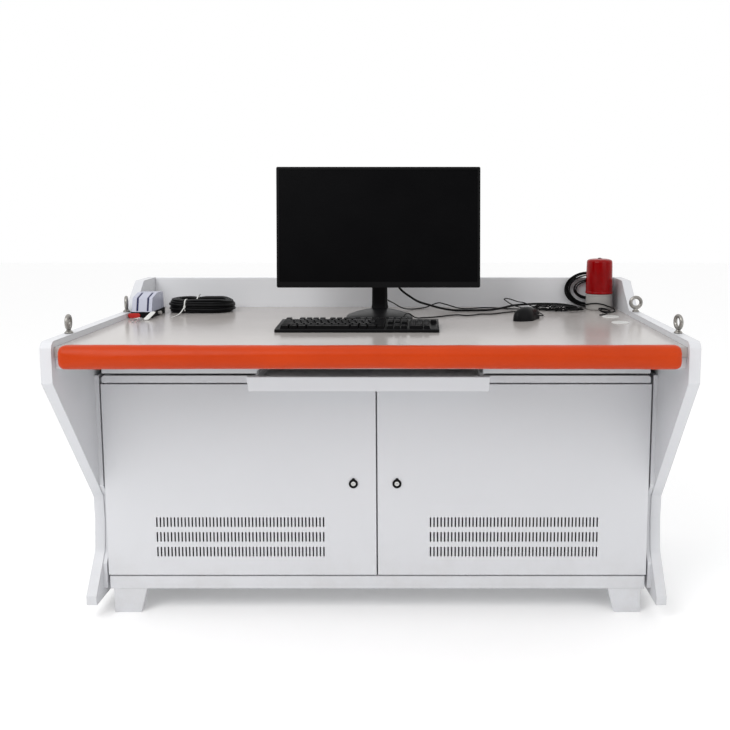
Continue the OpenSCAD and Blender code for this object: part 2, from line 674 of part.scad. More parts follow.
// Top-hat rails, circuit breakers, contactors, terminals and cable ducts.
rail_low_x = -cab_w / 2 + 340;
rail_high_x = cab_w / 2 - 192;
duct_zs = [rail_zs[0] + 78, (rail_zs[0] + rail_zs[1]) / 2, rail_zs[1] - 68];
duct_h = 30;
duct_d = 50;
duct_wall = 2;
module device(x, z, w, h, d) {
    block([x, plate_y - 8 - d, z - h / 2], [x + w, plate_y - 8, z + h / 2]);
    block([x, plate_y - 8 - d - 14, z - h * 0.22], [x + w, plate_y - 8 - d, z + h * 0.22]);
}
module rail_devices() place() color([0.8, 0.8, 0.78]) {
    for (z = rail_zs) block([rail_low_x, plate_y - 8, z - 17.5], [rail_high_x, plate_y, z + 17.5]);
    translate([rail_low_x, 0, 0]) {
        for (k = [0 : 5]) device(12 + k * 18.2, rail_zs[0], 17.5, 84, 44);
        for (k = [0 : 2]) device(142 + k * 52, rail_zs[0], 45, 80, 66);
        device(316, rail_zs[0], 110, 100, 80);
        device(440, rail_zs[0], 62, 120, 92);
        for (k = [0 : 7]) device(516 + k * 28, rail_zs[0], 26, 62, 48);
        for (k = [0 : 35]) device(22 + k * 8.4, rail_zs[1], 8.1, 46, 32);
        device(352, rail_zs[1], 130, 90, 58);
    }
    for (z = duct_zs) difference() {
        block([rail_low_x - 10, plate_y - duct_d, z - duct_h / 2],
            [rail_high_x + 10, plate_y, z + duct_h / 2]);
        block([rail_low_x - 11, plate_y - duct_d + duct_wall, z - duct_h / 2 + duct_wall],
            [rail_high_x + 11, plate_y - duct_wall, z + duct_h / 2 - duct_wall]);
    }
}

// The computer: a case of thin sheet with slots in its front.
pc_size = [180, 380, 380];
pc_wall = 1.5;
pc_low = [-cab_w / 2 + 132, shell_y + 35, foot_h + plinth_h + sheet];
module computer_case() place() color([0.2, 0.2, 0.21]) translate(pc_low) difference() {
    cube(pc_size);
    translate([pc_wall, pc_wall, pc_wall]) cube(pc_size - 2 * [pc_wall, pc_wall, pc_wall]);
    for (z = [250, 300]) translate([15, -1, z]) cube([pc_size[0] - 30, 4, 42]);
    for (k = [0 : 9]) translate([20 + k * 15, -1, 40]) cube([6, 4, 120]);
}

// The transformer: a core with two windows and a winding on each leg.
core = [240, 90, 200];
window = [60, 120];
winding = [134, 130, 116];
core_x = cab_w / 2 - 372;
core_y = shell_y + 133;
module isolating_transformer() place() color([0.25, 0.22, 0.2])
    translate([core_x, core_y, foot_h + plinth_h + sheet]) {
        difference() {
            cube(core);
            for (x = [40, 140]) translate([x, -1, 40]) cube([window[0], core[1] + 2, window[1]]);
        }
        for (x = [8, 98]) translate([x, (core[1] - winding[1]) / 2, 42]) difference() {
            cube(winding);
            translate([29, 17, -1]) cube([winding[0] - 58, winding[1] - 34, winding[2] + 2]);
        }
        for (x = [-20, core[0]]) translate([x, 10, 0]) cube([20, core[1] - 20, 4]);
    }

// The screen. Its middle lies screen_x beside the desk's middle.
screen_x = -4;
screen_low = worktop_z + screen_lift;
screen_top = screen_low + screen_h;
bezel = 8;
chin = 17;
glass_t = 2;
bulge_w = 420;
bulge_h = 250;
bulge_d = 30;
screen_mid = screen_low + screen_h / 2;
vesa = 100;
housing_back = screen_y + screen_t + bulge_d;

tilt_y = housing_back + 18;
tilt_z = screen_mid;

// Leans the screen back about its hinge pin.
module leaned() translate([screen_x, tilt_y, tilt_z]) rotate([-screen_lean, 0, 0])
    translate([0, -tilt_y, -tilt_z]) children();

module screen_housing() place() color(black) leaned() {
    difference() {
        translate([0, screen_y, 0]) along_y(screen_t) polygon(rounded([[-screen_w / 2, screen_low],
            [screen_w / 2, screen_low], [screen_w / 2, screen_top], [-screen_w / 2, screen_top]],
            [5, 5, 4, 4], 3));
        block([-screen_w / 2 + bezel, screen_y - 1, screen_low + chin],
            [screen_w / 2 - bezel, screen_y + glass_t + 1.5, screen_top - bezel]);
        block([-screen_w / 2 + bezel + 6, screen_y, screen_low + chin + 6],
            [screen_w / 2 - bezel - 6, screen_y + screen_t - 2.5, screen_top - bezel - 6]);
        block([-bulge_w / 2 + 3, screen_y, screen_mid - bulge_h / 2 + 3],
            [bulge_w / 2 - 3, screen_y + screen_t + 1, screen_mid + bulge_h / 2 - 3]);
    }
    difference() {
        translate([0, screen_y + screen_t, screen_mid]) rotate([-90, 0, 0]) union() {
            translate([-bulge_w / 2, -bulge_h / 2, 0]) cube([bulge_w, bulge_h, bulge_d * 0.6]);
            translate([-bulge_w / 2 + 30, -bulge_h / 2 + 25, bulge_d * 0.6])
                cube([bulge_w - 60, bulge_h - 50, bulge_d * 0.4]);
        }
        for (x = [-vesa / 2, vesa / 2]) for (z = [-vesa / 2, vesa / 2])
            translate([x, housing_back - 8, screen_mid + z]) rotate([-90, 0, 0])
                cylinder(d = 4, h = 9);
        block([-bulge_w / 2 + 3, screen_y + screen_t - 1, screen_mid - bulge_h / 2 + 3],
            [bulge_w / 2 - 3, screen_y + screen_t + bulge_d * 0.6 - 3, screen_mid + bulge_h / 2 - 3]);
    }
}

module screen_glass() place() color([0.01, 0.01, 0.012]) leaned()
    block([-screen_w / 2 + bezel + seat, screen_y + 1.5, screen_low + chin + seat],
        [screen_w / 2 - bezel - seat, screen_y + glass_t + 1.5, screen_top - bezel - seat]);

// The stand: bracket on the housing, hinge pin, column and domed foot.
tilt_pin = 10;
bracket_w = 66;
module tilt_bracket() place() color(black) leaned() {
    translate([-bracket_w / 2, housing_back + seat, tilt_z - 18]) cube([bracket_w, 5, 52]);
    for (x = [-bracket_w / 2, bracket_w / 2 - 6]) difference() {
        union() {
            block([x, housing_back + seat, tilt_z - 11], [x + 6, tilt_y, tilt_z + 11]);
            translate([x, tilt_y, tilt_z]) rotate([0, 90, 0]) cylinder(d = 22, h = 6);
        }
        translate([x - 1, tilt_y, tilt_z]) rotate([0, 90, 0]) cylinder(d = tilt_pin + 0.1, h = 8);
    }
}

dome_d = 172;
dome_h = 29;
column_t = 24;
column_y = tilt_y;
dome_y = tilt_y - 40;
module screen_stand() place() color(black) translate([screen_x, 0, 0]) {
    translate([0, dome_y, worktop_z]) loft([ellipse(dome_w / 2 - 1, dome_d / 2 - 1, 0),
        ellipse(dome_w / 2, dome_d / 2, 1.5), ellipse(dome_w / 2, dome_d / 2, 0.19 * dome_h),
        ellipse(dome_w / 2 - 5, dome_d / 2 - 4, 0.38 * dome_h),
        ellipse(dome_w * 0.41, dome_d * 0.41, 0.58 * dome_h, y = 2),
        ellipse(dome_w * 0.31, dome_d * 0.31, 0.77 * dome_h, y = 8),
        ellipse(dome_w * 0.2, dome_d * 0.2, 0.92 * dome_h, y = 16),
        ellipse(dome_w * 0.1, dome_d * 0.1, dome_h, y = 26)]);
    translate([-column_w / 2, column_y - column_t / 2, worktop_z + 10])
        linear_extrude(height = tilt_z - worktop_z - 10 - 14) polygon(rounded([[0, 0],
            [column_w, 0], [column_w, column_t], [0, column_t]], [9, 9, 5, 5]));
    translate([-bracket_w / 2 + 6.4, tilt_y, tilt_z]) rotate([0, 90, 0])
        cylinder(d = 22, h = bracket_w - 12.8);
    block([-column_w / 2 + 3, tilt_y - 8, tilt_z - 20], [column_w / 2 - 3, tilt_y + 8, tilt_z - 5]);
    translate([-bracket_w / 2 - 1, tilt_y, tilt_z]) rotate([0, 90, 0])
        cylinder(d = tilt_pin, h = bracket_w + 2);
}

// The keyboard
board_x = -51;
board_y = 248;
board_low = worktop_z;
board_front_h = 9;
board_back_h = 18;
well_d = 4.5;
key_top = 8;
plate_t = 1.2;
plate_z = -0.6 - plate_t;
key_gap = 2;
key_rows = [0, 1, 2, 3, 4, 5.3];
well_play = 0.5;
board_tilt = atan((board_back_h - board_front_h) / board_d);

// Key places: row, first column and one width for each key, in key pitches.
letter_rows = [[[0, 1.25], [1.25, 1.25], [2.5, 1.25], [10, 1.25], [11.25, 1.25], [12.5, 1.25],
    [13.75, 1.25]],
    [[0, 2.25], for (k = [0 : 9]) [2.25 + k, 1], [12.25, 2.75]],
    [[0, 1.75], for (k = [0 : 10]) [1.75 + k, 1], [12.75, 2.25]],
    [[0, 1.5], for (k = [0 : 11]) [1.5 + k, 1], [13.5, 1.5]],
    [for (k = [0 : 12]) [k, 1], [13, 2]]];
function_row = [[0, 1], for (x = [2, 6.5, 11]) for (k = [0 : 3]) [x + k, 1]];
nav_row = [[15.25, 1], [16.25, 1], [17.25, 1]];
nav_rows = [nav_row, [[16.25, 1]], [], nav_row, nav_row, nav_row];
pad_rows = [[[18.5, 2], [20.5, 1]], [[18.5, 1], [19.5, 1], [20.5, 1]], [[18.5, 1], [19.5, 1], [20.5, 1]],
    [[18.5, 1], [19.5, 1], [20.5, 1]], [[18.5, 1], [19.5, 1], [20.5, 1], [21.5, 1]]];
keys_left = 13;
keys_front = 12;

// Moves the children onto the keyboard's sloping deck.
module on_deck() translate([board_x - board_w / 2, board_y, board_low + board_front_h])
    rotate([board_tilt, 0, 0]) children();

// One keycap with slanting sides, w wide in key pitches.
module keycap(column, row, w) {
    x0 = keys_left + column * key_pitch + key_gap / 2;
    x1 = x0 + w * key_pitch - key_gap;
    y0 = keys_front + row * key_pitch + key_gap / 2;
    y1 = y0 + key_pitch - key_gap;
    low = plate_z + plate_t - 0.1;
    loft([[[x0, y0, low], [x0, y1, low], [x1, y1, low], [x1, y0, low]],
        [[x0, y0, 1], [x0, y1, 1], [x1, y1, 1], [x1, y0, 1]],
        [[x0 + 2, y0 + 2, key_top], [x0 + 2, y1 - 1, key_top + 0.5], [x1 - 2, y1 - 1, key_top + 0.5],
            [x1 - 2, y0 + 2, key_top]]]);
}

// The plate that carries a block of keys, from column x0 to x1 and from row y0 to y1.
module key_plate(x0, x1, y0, y1)
    translate([keys_left + x0 * key_pitch, keys_front + y0 * key_pitch, plate_z])
        cube([(x1 - x0) * key_pitch, (y1 - y0) * key_pitch, plate_t]);

module keys(rows) for (r = [0 : len(rows) - 1]) for (k = rows[r]) keycap(k[0], key_rows[r], k[1]);

module keyboard_case() place() color(black) {
    difference() {
        translate([board_x - board_w / 2, board_y, board_low]) along_x(board_w)
            polygon([[0, 2], [3, 0], [board_d - 2, 0], [board_d, 2], [board_d, board_back_h - 1],
                [board_d - 2, board_back_h], [2, board_front_h], [0, board_front_h - 2]]);
        on_deck() {
            for (w = [[0, 15, 0, 5], [0, 15, 5.3, 6.3], [15.25, 18.25, 0, 6.3], [18.5, 22.5, 0, 5]])
                translate([keys_left + w[0] * key_pitch - well_play,
                    keys_front + w[2] * key_pitch - well_play, -well_d])
                    cube([(w[1] - w[0]) * key_pitch + 2 * well_play,
                        (w[3] - w[2]) * key_pitch + 2 * well_play, 20]);
        }
    }
}

module letter_keys() place() color(black) on_deck() {
    keys(letter_rows);
    key_plate(0, 15, 1, 5);
    key_plate(0, 3.73, 0, 1.02);
    key_plate(10.02, 15, 0, 1.02);
}

module space_bar() place() color(black) on_deck() {
    keycap(3.76, 0, 6.23);
    key_plate(3.76, 9.99, 0, 0.97);
}

module function_keys() place() color(black) on_deck() {
    for (k = function_row) keycap(k[0], key_rows[5], k[1]);
    key_plate(0, 15, 5.3, 6.3);
}

module navigation_keys() place() color(black) on_deck() {
    keys(nav_rows);
    key_plate(15.25, 18.25, 0, 6.3);
}

module number_keys() place() color(black) on_deck() {
    keys(pad_rows);
    key_plate(18.5, 22.5, 0, 5);
}

// The mouse, with its nose along +Y before it is turned.
mouse_at = [440, 505, 0];
mouse_turn = -47;
module mouse_place() place() translate([mouse_at[0], mouse_at[1], worktop_z])
    rotate([0, 0, mouse_turn]) children();

// Half width and height of the mouse at a share t of its length, from tail to nose.
function mouse_half(t) = mouse_w / 2 * (0.78 + 0.22 * cos(360 * (t - 0.35)))
    * pow(sin(180 * (0.06 + 0.88 * t)), 0.42);
function mouse_top(t) = mouse_h * (0.36 + 0.64 * pow(sin(180 * (0.08 + 0.8 * pow(t, 0.85))), 0.75));
// The share of that height which the body has in front, under the buttons.
function front_share(t) = 0.7 - 0.45 * (t - split_t);
function mouse_ring(t, top_share, low) = let (w = mouse_half(t), h = mouse_top(t) * top_share)
    [for (a = [0 : 15 : 180]) [w * cos(a) * (1 - 0.1 * sin(a)), (t - 0.5) * mouse_l,
        low + (h - low) * pow(sin(a), 0.7)]];

split_t = 0.58;
wheel_d = 24;
wheel_w = 7;
wheel_t = 0.8;
wheel_y = (wheel_t - 0.5) * mouse_l;
wheel_z = mouse_top(wheel_t) - wheel_d / 2 + 2;
axle_d = 5;
module mouse_body() mouse_place() color(black) difference() {
    union() {
        loft([for (i = [0 : 9]) mouse_ring(split_t * i / 9, 1, 0.6)]);
        loft([for (i = [0 : 7]) let (t = split_t + (1 - split_t) * i / 7)
            mouse_ring(t, front_share(t), 0.6)]);
        // Bearings of the wheel's axle.
        both_sides() block([wheel_w / 2 + 1, wheel_y - 2.3, 8],
            [wheel_w / 2 + 2.1, wheel_y + 2.3, wheel_z + axle_d / 2 + 0.4]);
    }
    translate([-wheel_w / 2 - 1, wheel_y - wheel_d / 2 - 1, wheel_z - wheel_d / 2 - 1])
        cube([wheel_w + 2, wheel_d + 2, wheel_d + 12]);
    translate([0, wheel_y, wheel_z]) rotate([0, 90, 0])
        cylinder(d = axle_d + 0.1, h = wheel_w + 3.4, center = true);
}

button_t = 2;
click_t = split_t + 0.012;
click_y = (click_t - 0.5) * mouse_l + 1.6;
click_z = mouse_top(click_t) - 3.7;
// Where a button's inner edge runs beside the middle, wider at the wheel.
function button_edge(t) = abs(t - wheel_t) * mouse_l < wheel_d / 2 + 2 ? wheel_w / 2 + 1.2 : 0.5;
function button_ring(t, side) = let (w = mouse_half(t), h = mouse_top(t), start = 24,
    end = acos(button_edge(t) / (0.9 * w)), n = 7,
    angles = [for (i = [0 : n]) start + (end - start) * i / n],
    arc = function (cut) [for (a = angles) [side * (w - cut) * cos(a) * (1 - 0.1 * sin(a)),
        (t - 0.5) * mouse_l, 0.6 + (h - 0.6) * pow(sin(a), 0.7) - cut]],
    outer = arc(0), inner = arc(button_t),
    ring = concat(outer, [for (i = [n : -1 : 0]) inner[i]]))
    side > 0 ? ring : [for (i = [len(ring) - 1 : -1 : 0]) ring[i]];

wheel_from = wheel_t - (wheel_d / 2 + 2) / mouse_l;
wheel_to = wheel_t + (wheel_d / 2 + 2) / mouse_l;
button_ts = [click_t, (split_t + wheel_from) / 2, wheel_from - 0.005, wheel_from + 0.005, wheel_t,
    wheel_to - 0.005, wheel_to + 0.005, 0.95, 0.985];
module mouse_button(side) {
    loft([for (t = button_ts) button_ring(t, side)]);
    // The barrel on which the button tips.
    translate([side > 0 ? 2 : -8, click_y, click_z]) rotate([0, 90, 0]) cylinder(d = 3, h = 6);
}
module mouse_left_button() mouse_place() color(black) mouse_button(-1);
module mouse_right_button() mouse_place() color(black) mouse_button(1);
module mouse_wheel() mouse_place() color([0.12, 0.12, 0.12])
    translate([-wheel_w / 2, wheel_y, wheel_z]) rotate([0, 90, 0]) {
        cylinder(d = wheel_d, h = wheel_w);
        translate([0, 0, -1.5]) cylinder(d = axle_d, h = wheel_w + 3);
    }

// The beacon
beacon_at = [inner_w / 2 - 63, port_y, 0];
module beacon_place() place() translate([beacon_at[0], beacon_at[1], worktop_z]) children();

module beacon_foot() beacon_place() color([0.72, 0.72, 0.7]) rotate_extrude($fn = 64)
    polygon([[0, 0], [beacon_d / 2 - 4, 0], [beacon_d / 2 - 2, 2], [beacon_d / 2, 10],
        [beacon_d / 2, beacon_foot_h - 3], [beacon_d / 2 - 1, beacon_foot_h],
        [beacon_d / 2 - beacon_wall - 1, beacon_foot_h], [beacon_d / 2 - beacon_wall - 1, beacon_foot_h + 5],
        [4, beacon_foot_h + 5], [4, beacon_foot_h + 14], [0, beacon_foot_h + 14]]);

dome_r = beacon_d / 2 + 2.5;
dome_top_r = dome_r - 3;
dome_rim_r = beacon_d / 2 - 2.5;
module beacon_dome() beacon_place() color([0.6, 0.02, 0.03, 0.8]) translate([0, 0, beacon_foot_h + seat])
    rotate_extrude($fn = 64) polygon([[dome_rim_r, 0], [dome_r, 0],
        [dome_top_r, beacon_dome_h - 12], [dome_top_r - 1.5, beacon_dome_h - 9.5],
        [dome_top_r - 6, beacon_dome_h - 6.5], [dome_top_r * 0.6, beacon_dome_h - 2],
        [0, beacon_dome_h], [0, beacon_dome_h - beacon_wall],
        [dome_top_r * 0.6 - 1, beacon_dome_h - 2 - beacon_wall],
        [dome_top_r - 7, beacon_dome_h - 6.8 - beacon_wall],
        [dome_top_r - beacon_wall, beacon_dome_h - 14], [dome_r - beacon_wall, 3], [dome_rim_r, 3]]);

reflector_r = 26;
module beacon_reflector() beacon_place() color([0.85, 0.85, 0.86]) translate([0, 0, beacon_foot_h + 6]) {
    difference() {
        cylinder(r = reflector_r + 4, h = 5);
        translate([0, 0, -1]) cylinder(r = 4.1, h = 12);
    }
    difference() {
        translate([0, 0, 5]) cylinder(r = reflector_r, h = 62);
        translate([0, 0, 4]) cylinder(r = reflector_r - 1.5, h = 64);
        translate([-reflector_r - 1, -reflector_r - 1, 4.9])
            cube([2 * reflector_r + 2, reflector_r + 1, 70]);
    }
    difference() {
        translate([0, 0, 4]) cylinder(d = 16, h = 12);
        translate([0, 0, -1]) cylinder(r = 4.1, h = 12);
    }
    translate([0, 0, 16]) cylinder(d = 12, h = 18);
    translate([0, 0, 34]) sphere(d = 18, $fn = 24);
}

// The signal box: white sloping housing with two grooves, on a black base.
box_at = [-inner_w / 2 + 8, 548, 0];
box_w = 65;
box_l = 130;
box_base_h = 18;
module box_place() place() translate([box_at[0], box_at[1], worktop_z]) children();

module signal_box_base() box_place() color(black) difference() {
    linear_extrude(height = box_base_h) polygon(rounded([[0, 0], [box_w + 2, 0],
        [box_w + 2, box_l], [0, box_l]], [4, 4, 4, 4], 3));
    translate([box_w - 2, box_l * 0.45, box_base_h / 2]) rotate([0, 90, 0]) cylinder(d = 11, h = 5);
}

module signal_box() box_place() color([0.85, 0.87, 0.93]) translate([3, 0, box_base_h]) difference() {
    along_x(box_w - 4) polygon(rounded([[2, 0], [box_l - 4, 0], [box_l - 10, 52], [62, 54], [14, 42]],
        [0, 0, 4, 6, 6], 3));
    for (g = [[13, 6.5], [45, 6]]) translate([g[0], 0, 0]) along_x(g[1]) polygon([[0, 2], [5.2, 2],
        [16, 39.9], [62, 51.4], [62, 60], [0, 60]]);
}

// The keys on their ring, with a red tag and a white tag that leans on the signal box's base.
key_at = [-inner_w / 2 + 42, 497];
tag_slope = atan((box_base_h + seat - 0.5) / 54);
module cabinet_keys() place() translate([key_at[0], key_at[1], worktop_z]) {
    color([0.75, 0.08, 0.06]) translate([-22.5, box_at[1] - key_at[1] - seat - 6, seat + 7.2])
        along_y(6) polygon(rounded([[-18.5, -7.2], [18.5, -7.2], [18.5, 7.2], [-18.5, 7.2]],
            [7, 7, 7, 7], 4));
    color(white) translate([28, -3, 0.5]) rotate([0, 0, -9]) rotate([tag_slope, 0, 0])
        linear_extrude(height = 2) polygon(rounded([[-13, 0], [13, 0], [13, 57.3], [-13, 57.3]],
            [12, 12, 12, 12], 4));
    color(steel) for (k = [[-2.9, -25, 17], [13.3, -24, 9]])
        translate([k[0], k[1], seat]) rotate([0, 0, k[2]]) {
            difference() {
                translate([0, 32, 0]) cylinder(d = 20, h = 2);
                translate([0, 37, -1]) cylinder(d = 4, h = 4);
            }
            translate([-3, -26, 0]) cube([6, 50, 2]);
        }
}

// The cords. Their routes are lists of points in desk coordinates.
screen_route = [[40, 556.8, 1071.5], [40, 566, 1071.5], [41, 579, 1064], [43, 588, 1045],
    [46, 592, 980], [48, 594, 930], [55, 600, 890], [66, 606, 876], [88, 622, 858],
    [115, 650, 838.5], [150, 672, 825], [187, 696, 812], [226, 700, 805], [268, 702, 803.9],
    [314, 706, 803.9], [352, 712, 804.5], [400, 745, 809], [430, 770, 812], [500, 795, 814],
    [555, 806, 813], [592, 802, 812], [616, 790, 810], [630, 777, 807.5], [635, 769, 798],
    [635, 768, 776]];
lead_in_route = [[-43, 556.8, 1071.5], [-43, 566, 1071.5], [-43, 580, 1062], [-38, 592, 1036],
    [-26, 600, 960], [-8, 608, 900], [4, 613, 872], [15, 621, 850.5], [35, 660, 833],
    [58, 714, 812.5], [76, 736, 804.4], [97, 750, 802.4], [122, 770, 802.4], [143, 788, 804.6],
    [161, 797, 811], [183, 800, 817], [205, 798, 812.5], [227, 791, 806.6], [245, 777, 803],
    [264, 763, 802.4], [290, 767, 802.4], [330, 788, 802.4], [362, 782, 802.4],
    [395, 764, 802.4], [430, 755, 802.4], [490, 752, 802.4], [550, 750, 802.4],
    [590, 752, 803.4], [607, 758, 805.8], [618, 762, 799], [620, 762, 776]];
board_route = [[64, 394.6, 809], [65, 403, 811], [69, 416, 817], [75, 430, 823.5],
    [80, 446, 827], [87, 464, 824.5], [95, 484, 817], [104, 505, 808], [114, 524, 803.2],
    [127, 536, 802.4], [153, 546, 802.4], [184, 566, 802.4], [214, 594, 802.4],
    [237, 604, 802.4], [262, 590, 802.4], [286, 600, 802.4], [308, 620, 802.4],
    [346, 624, 802.4], [391, 662, 802.4], [420, 680, 802.4], [450, 692, 802.4],
    [480, 707, 804.5], [502, 718, 806.5]];
board_exit_route = [[614, 694, 806.5], [620, 702, 806.5], [625, 716, 806.5], [626, 734, 806.5],
    [625, 745, 803], [624, 748, 794], [624, 748, 776]];
mouse_route = [[478.2, 540.7, 808], [485, 547, 807.5], [494, 557, 806], [500, 573, 804.5],
    [500, 600, 805], [490, 636, 808], [468, 672, 812], [431, 712, 816.5], [416, 745, 821],
    [404, 780, 827.5], [401, 795, 830.5], [410, 802, 831.5], [428, 801, 827.5],
    [447, 795, 821.5], [462, 782, 820.5], [477, 767, 816.5], [490, 745, 810.5],
    [508, 725, 808.5]];
mouse_exit_route = [[608, 690, 810], [622, 692, 811], [636, 704, 811], [643, 728, 809],
    [642, 745, 805], [640, 750, 796], [640, 750, 776]];
cable_d = 7;
cord_d = 4;
thin_d = 3.6;

// A route whose points follow the cable hole's place by a share that grows from a to b.
led_from = [630, 757];
function led(route, a, b) = let (last = len(route) - 1) [for (i = [0 : last])
    route[i] + (a + (b - a) * i / last) * [port_x - led_from[0], port_y - led_from[1], 0]];

module screen_cable() place() color(black) tube(led(screen_route, 0, 1), cable_d, 8);
module screen_lead() place() color(black) tube(led(lead_in_route, 0, 1), cord_d, 6);
module keyboard_cord() place() color(black) {
    tube(led(board_route, 0, 1), cord_d, 6);
    tube(led(board_exit_route, 1, 1), cord_d, 6);
}
module mouse_cord() place() color(black) {
    tube(led(mouse_route, 0, 1), thin_d, 6);
    tube(led(mouse_exit_route, 1, 1), thin_d, 6);
}

// The two input cords' spare length, bundled in a hank.
hank_points = [[498, 716], [606, 678], [620, 694], [510, 736]];
module cord_hank() place() color(black)
    translate([port_x - led_from[0], port_y - led_from[1], worktop_z + seat])
    linear_extrude(height = 14) polygon(rounded(hank_points, [9, 9, 9, 9], 4));

// The beacon's own lead: a coil that stands on its edge against the upstand.
coil_at = [port_x + 54, upstand_y - 14.5, 861.5];
coil_out = [150, 118];
coil_band = 36;
coil_t = 16;
coil_lean = 5;
function oval(size) = [for (k = [0 : 47]) [size[0] / 2 * cos(k * 7.5), size[1] / 2 * sin(k * 7.5)]];
module beacon_coil() place() color(black) translate(coil_at) rotate([90 - coil_lean, 0, 0])
    linear_extrude(height = coil_t, center = true) difference() {
        polygon(oval(coil_out));
        polygon(oval(coil_out - 2 * [coil_band, coil_band]));
    }

foot_route = [[679.3, 786.7, 812], [676, 792, 811], [671, 797, 810.5], [668, 802.5, 810]];
tail_route = [[652, 803, 811], [655, 796, 809], [659, 786, 806], [662, 774, 803.4],
    [663, 757, 802.4], [664, 735, 802.4], [668, 708, 802.4], [664, 684, 802.4],
    [674, 662, 802.4], [686, 648, 802.4], [682, 634, 803.5], [690, 620, 805.2],
    [697, 606, 805.2]];
module beacon_lead() place() color(black) {
    tube(led(foot_route, 1, 1), cord_d, 6);
    tube(led(tail_route, 1, 1), cord_d, 6);
}

spare_at = [-inner_w / 2 + 187, port_y - 45, 0];
spare_l = 215;
spare_w = 125;
spare_h = 46;
module spare_cable() place() color(black)
    translate([spare_at[0], spare_at[1], worktop_z + seat]) difference() {
        linear_extrude(height = spare_h) polygon(rounded([[-spare_l / 2, -spare_w / 2],
            [spare_l / 2, -spare_w / 2], [spare_l / 2, spare_w / 2],
            [-spare_l / 2, spare_w / 2]], [62, 62, 62, 62], 8));
        translate([0, 0, -1]) linear_extrude(height = spare_h + 2) polygon(rounded([[-60, -16],
            [60, -16], [60, 16], [-60, 16]], [15.9, 15.9, 15.9, 15.9], 5));
    }

left_side_shell();
right_side_shell();
side_liners();
worktop();
rear_upstand();
armrest();
armrest_rail();
underframe();
drawer_fascia();
cabinet_shell();
front_frame();
plinth();
feet();
side_spacers();
rear_cover();
door_pivots();
left_door();
right_door();
left_lock();
right_lock();
left_lock_cam();
right_lock_cam();
drawer_hangers();
slide_middles();
drawer_tray();
lifting_eyes();
hole_covers();
cable_bushing();
mounting_plate();
rail_devices();
computer_case();
isolating_transformer();
screen_housing();
screen_glass();
tilt_bracket();
screen_stand();
keyboard_case();
letter_keys();
function_keys();
navigation_keys();
number_keys();
space_bar();
mouse_body();
mouse_left_button();
mouse_right_button();
mouse_wheel();
beacon_foot();
beacon_dome();
beacon_reflector();
signal_box();
signal_box_base();
cabinet_keys();
screen_cable();
screen_lead();
keyboard_cord();
mouse_cord();
cord_hank();
beacon_coil();
beacon_lead();
spare_cable();
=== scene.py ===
import bpy
import bmesh
import math
from mathutils import Matrix, Vector, noise


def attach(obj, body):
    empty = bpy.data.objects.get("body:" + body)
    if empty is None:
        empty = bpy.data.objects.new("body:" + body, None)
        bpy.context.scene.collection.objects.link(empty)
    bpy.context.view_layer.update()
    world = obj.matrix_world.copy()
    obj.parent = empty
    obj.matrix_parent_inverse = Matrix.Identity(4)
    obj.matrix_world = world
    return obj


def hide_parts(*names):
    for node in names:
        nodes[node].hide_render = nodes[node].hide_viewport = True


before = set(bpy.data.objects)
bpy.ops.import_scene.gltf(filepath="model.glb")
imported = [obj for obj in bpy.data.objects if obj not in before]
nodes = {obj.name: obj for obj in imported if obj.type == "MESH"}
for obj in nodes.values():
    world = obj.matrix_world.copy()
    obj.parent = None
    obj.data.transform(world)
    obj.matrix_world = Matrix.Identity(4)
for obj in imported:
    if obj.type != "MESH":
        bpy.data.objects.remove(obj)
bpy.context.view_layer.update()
print("frame loaded:", len(nodes), "nodes")

deskFront = 0.410                                   # the side panels' front edge lies this far before the origin
worktopTop = 800                                    # its height above the floor, in millimetres


# desk millimetres to metres in the frame
def desk(x, y, z):
    return Vector((x / 1000, y / 1000 - deskFront, z / 1000))


# angles spaced evenly round a full turn
def aroundTurn(count):
    return [2 * math.pi * k / count for k in range(count)]


# a share from 0 to 1 that starts and ends gently
def gentle(share):
    share = min(1, max(0, share))
    return share * share * (3 - 2 * share)


# the camera, as the desk was photographed
camera = {"place": (0.1207, -2.4375, 1.14825), "pitch": 0.11694, "focal": 850.0, "image": 730.0,
    "middle": (420.27, 303.09)}
lensData = bpy.data.cameras.new("deskCamera")
lensData.sensor_width = 36
lensData.lens = camera["focal"] / camera["image"] * 36
lensData.shift_x = (camera["image"] / 2 - camera["middle"][0]) / camera["image"]
lensData.shift_y = (camera["middle"][1] - camera["image"] / 2) / camera["image"]
lensData.clip_end = 100
cameraObject = bpy.data.objects.new("deskCamera", lensData)
cameraObject.location = camera["place"]
cameraObject.rotation_euler = (math.pi / 2 - camera["pitch"], 0, 0)
bpy.context.scene.collection.objects.link(cameraObject)
bpy.context.scene.camera = cameraObject


def addObject(name, data):
    piece = bpy.data.objects.new(name, data)
    bpy.context.scene.collection.objects.link(piece)
    return piece


# smooth shading; edges sharper than the angle stay sharp
def smoothShade(data, sharp):
    data.polygons.foreach_set("use_smooth", [True] * len(data.polygons))
    data.set_sharp_from_angle(angle=math.radians(sharp))


# the mesh that a piece's modifiers make
def madeMesh(piece):
    return bpy.data.meshes.new_from_object(piece.evaluated_get(bpy.context.evaluated_depsgraph_get()))


def bmeshPiece(name, shape, sharp=35):
    bmesh.ops.recalc_face_normals(shape, faces=shape.faces)
    data = bpy.data.meshes.new(name)
    shape.to_mesh(data)
    shape.free()
    smoothShade(data, sharp)
    return addObject(name, data)


def meshPiece(name, points, faces, sharp=35):
    shape = bmesh.new()
    corners = [shape.verts.new(p) for p in points]
    for face in faces:
        shape.faces.new([corners[k] for k in face])
    return bmeshPiece(name, shape, sharp)


# the faces between two rings of corners
def addBand(shape, low, high):
    for k in range(len(low)):
        n = (k + 1) % len(low)
        shape.faces.new((low[k], low[n], high[n], high[k]))


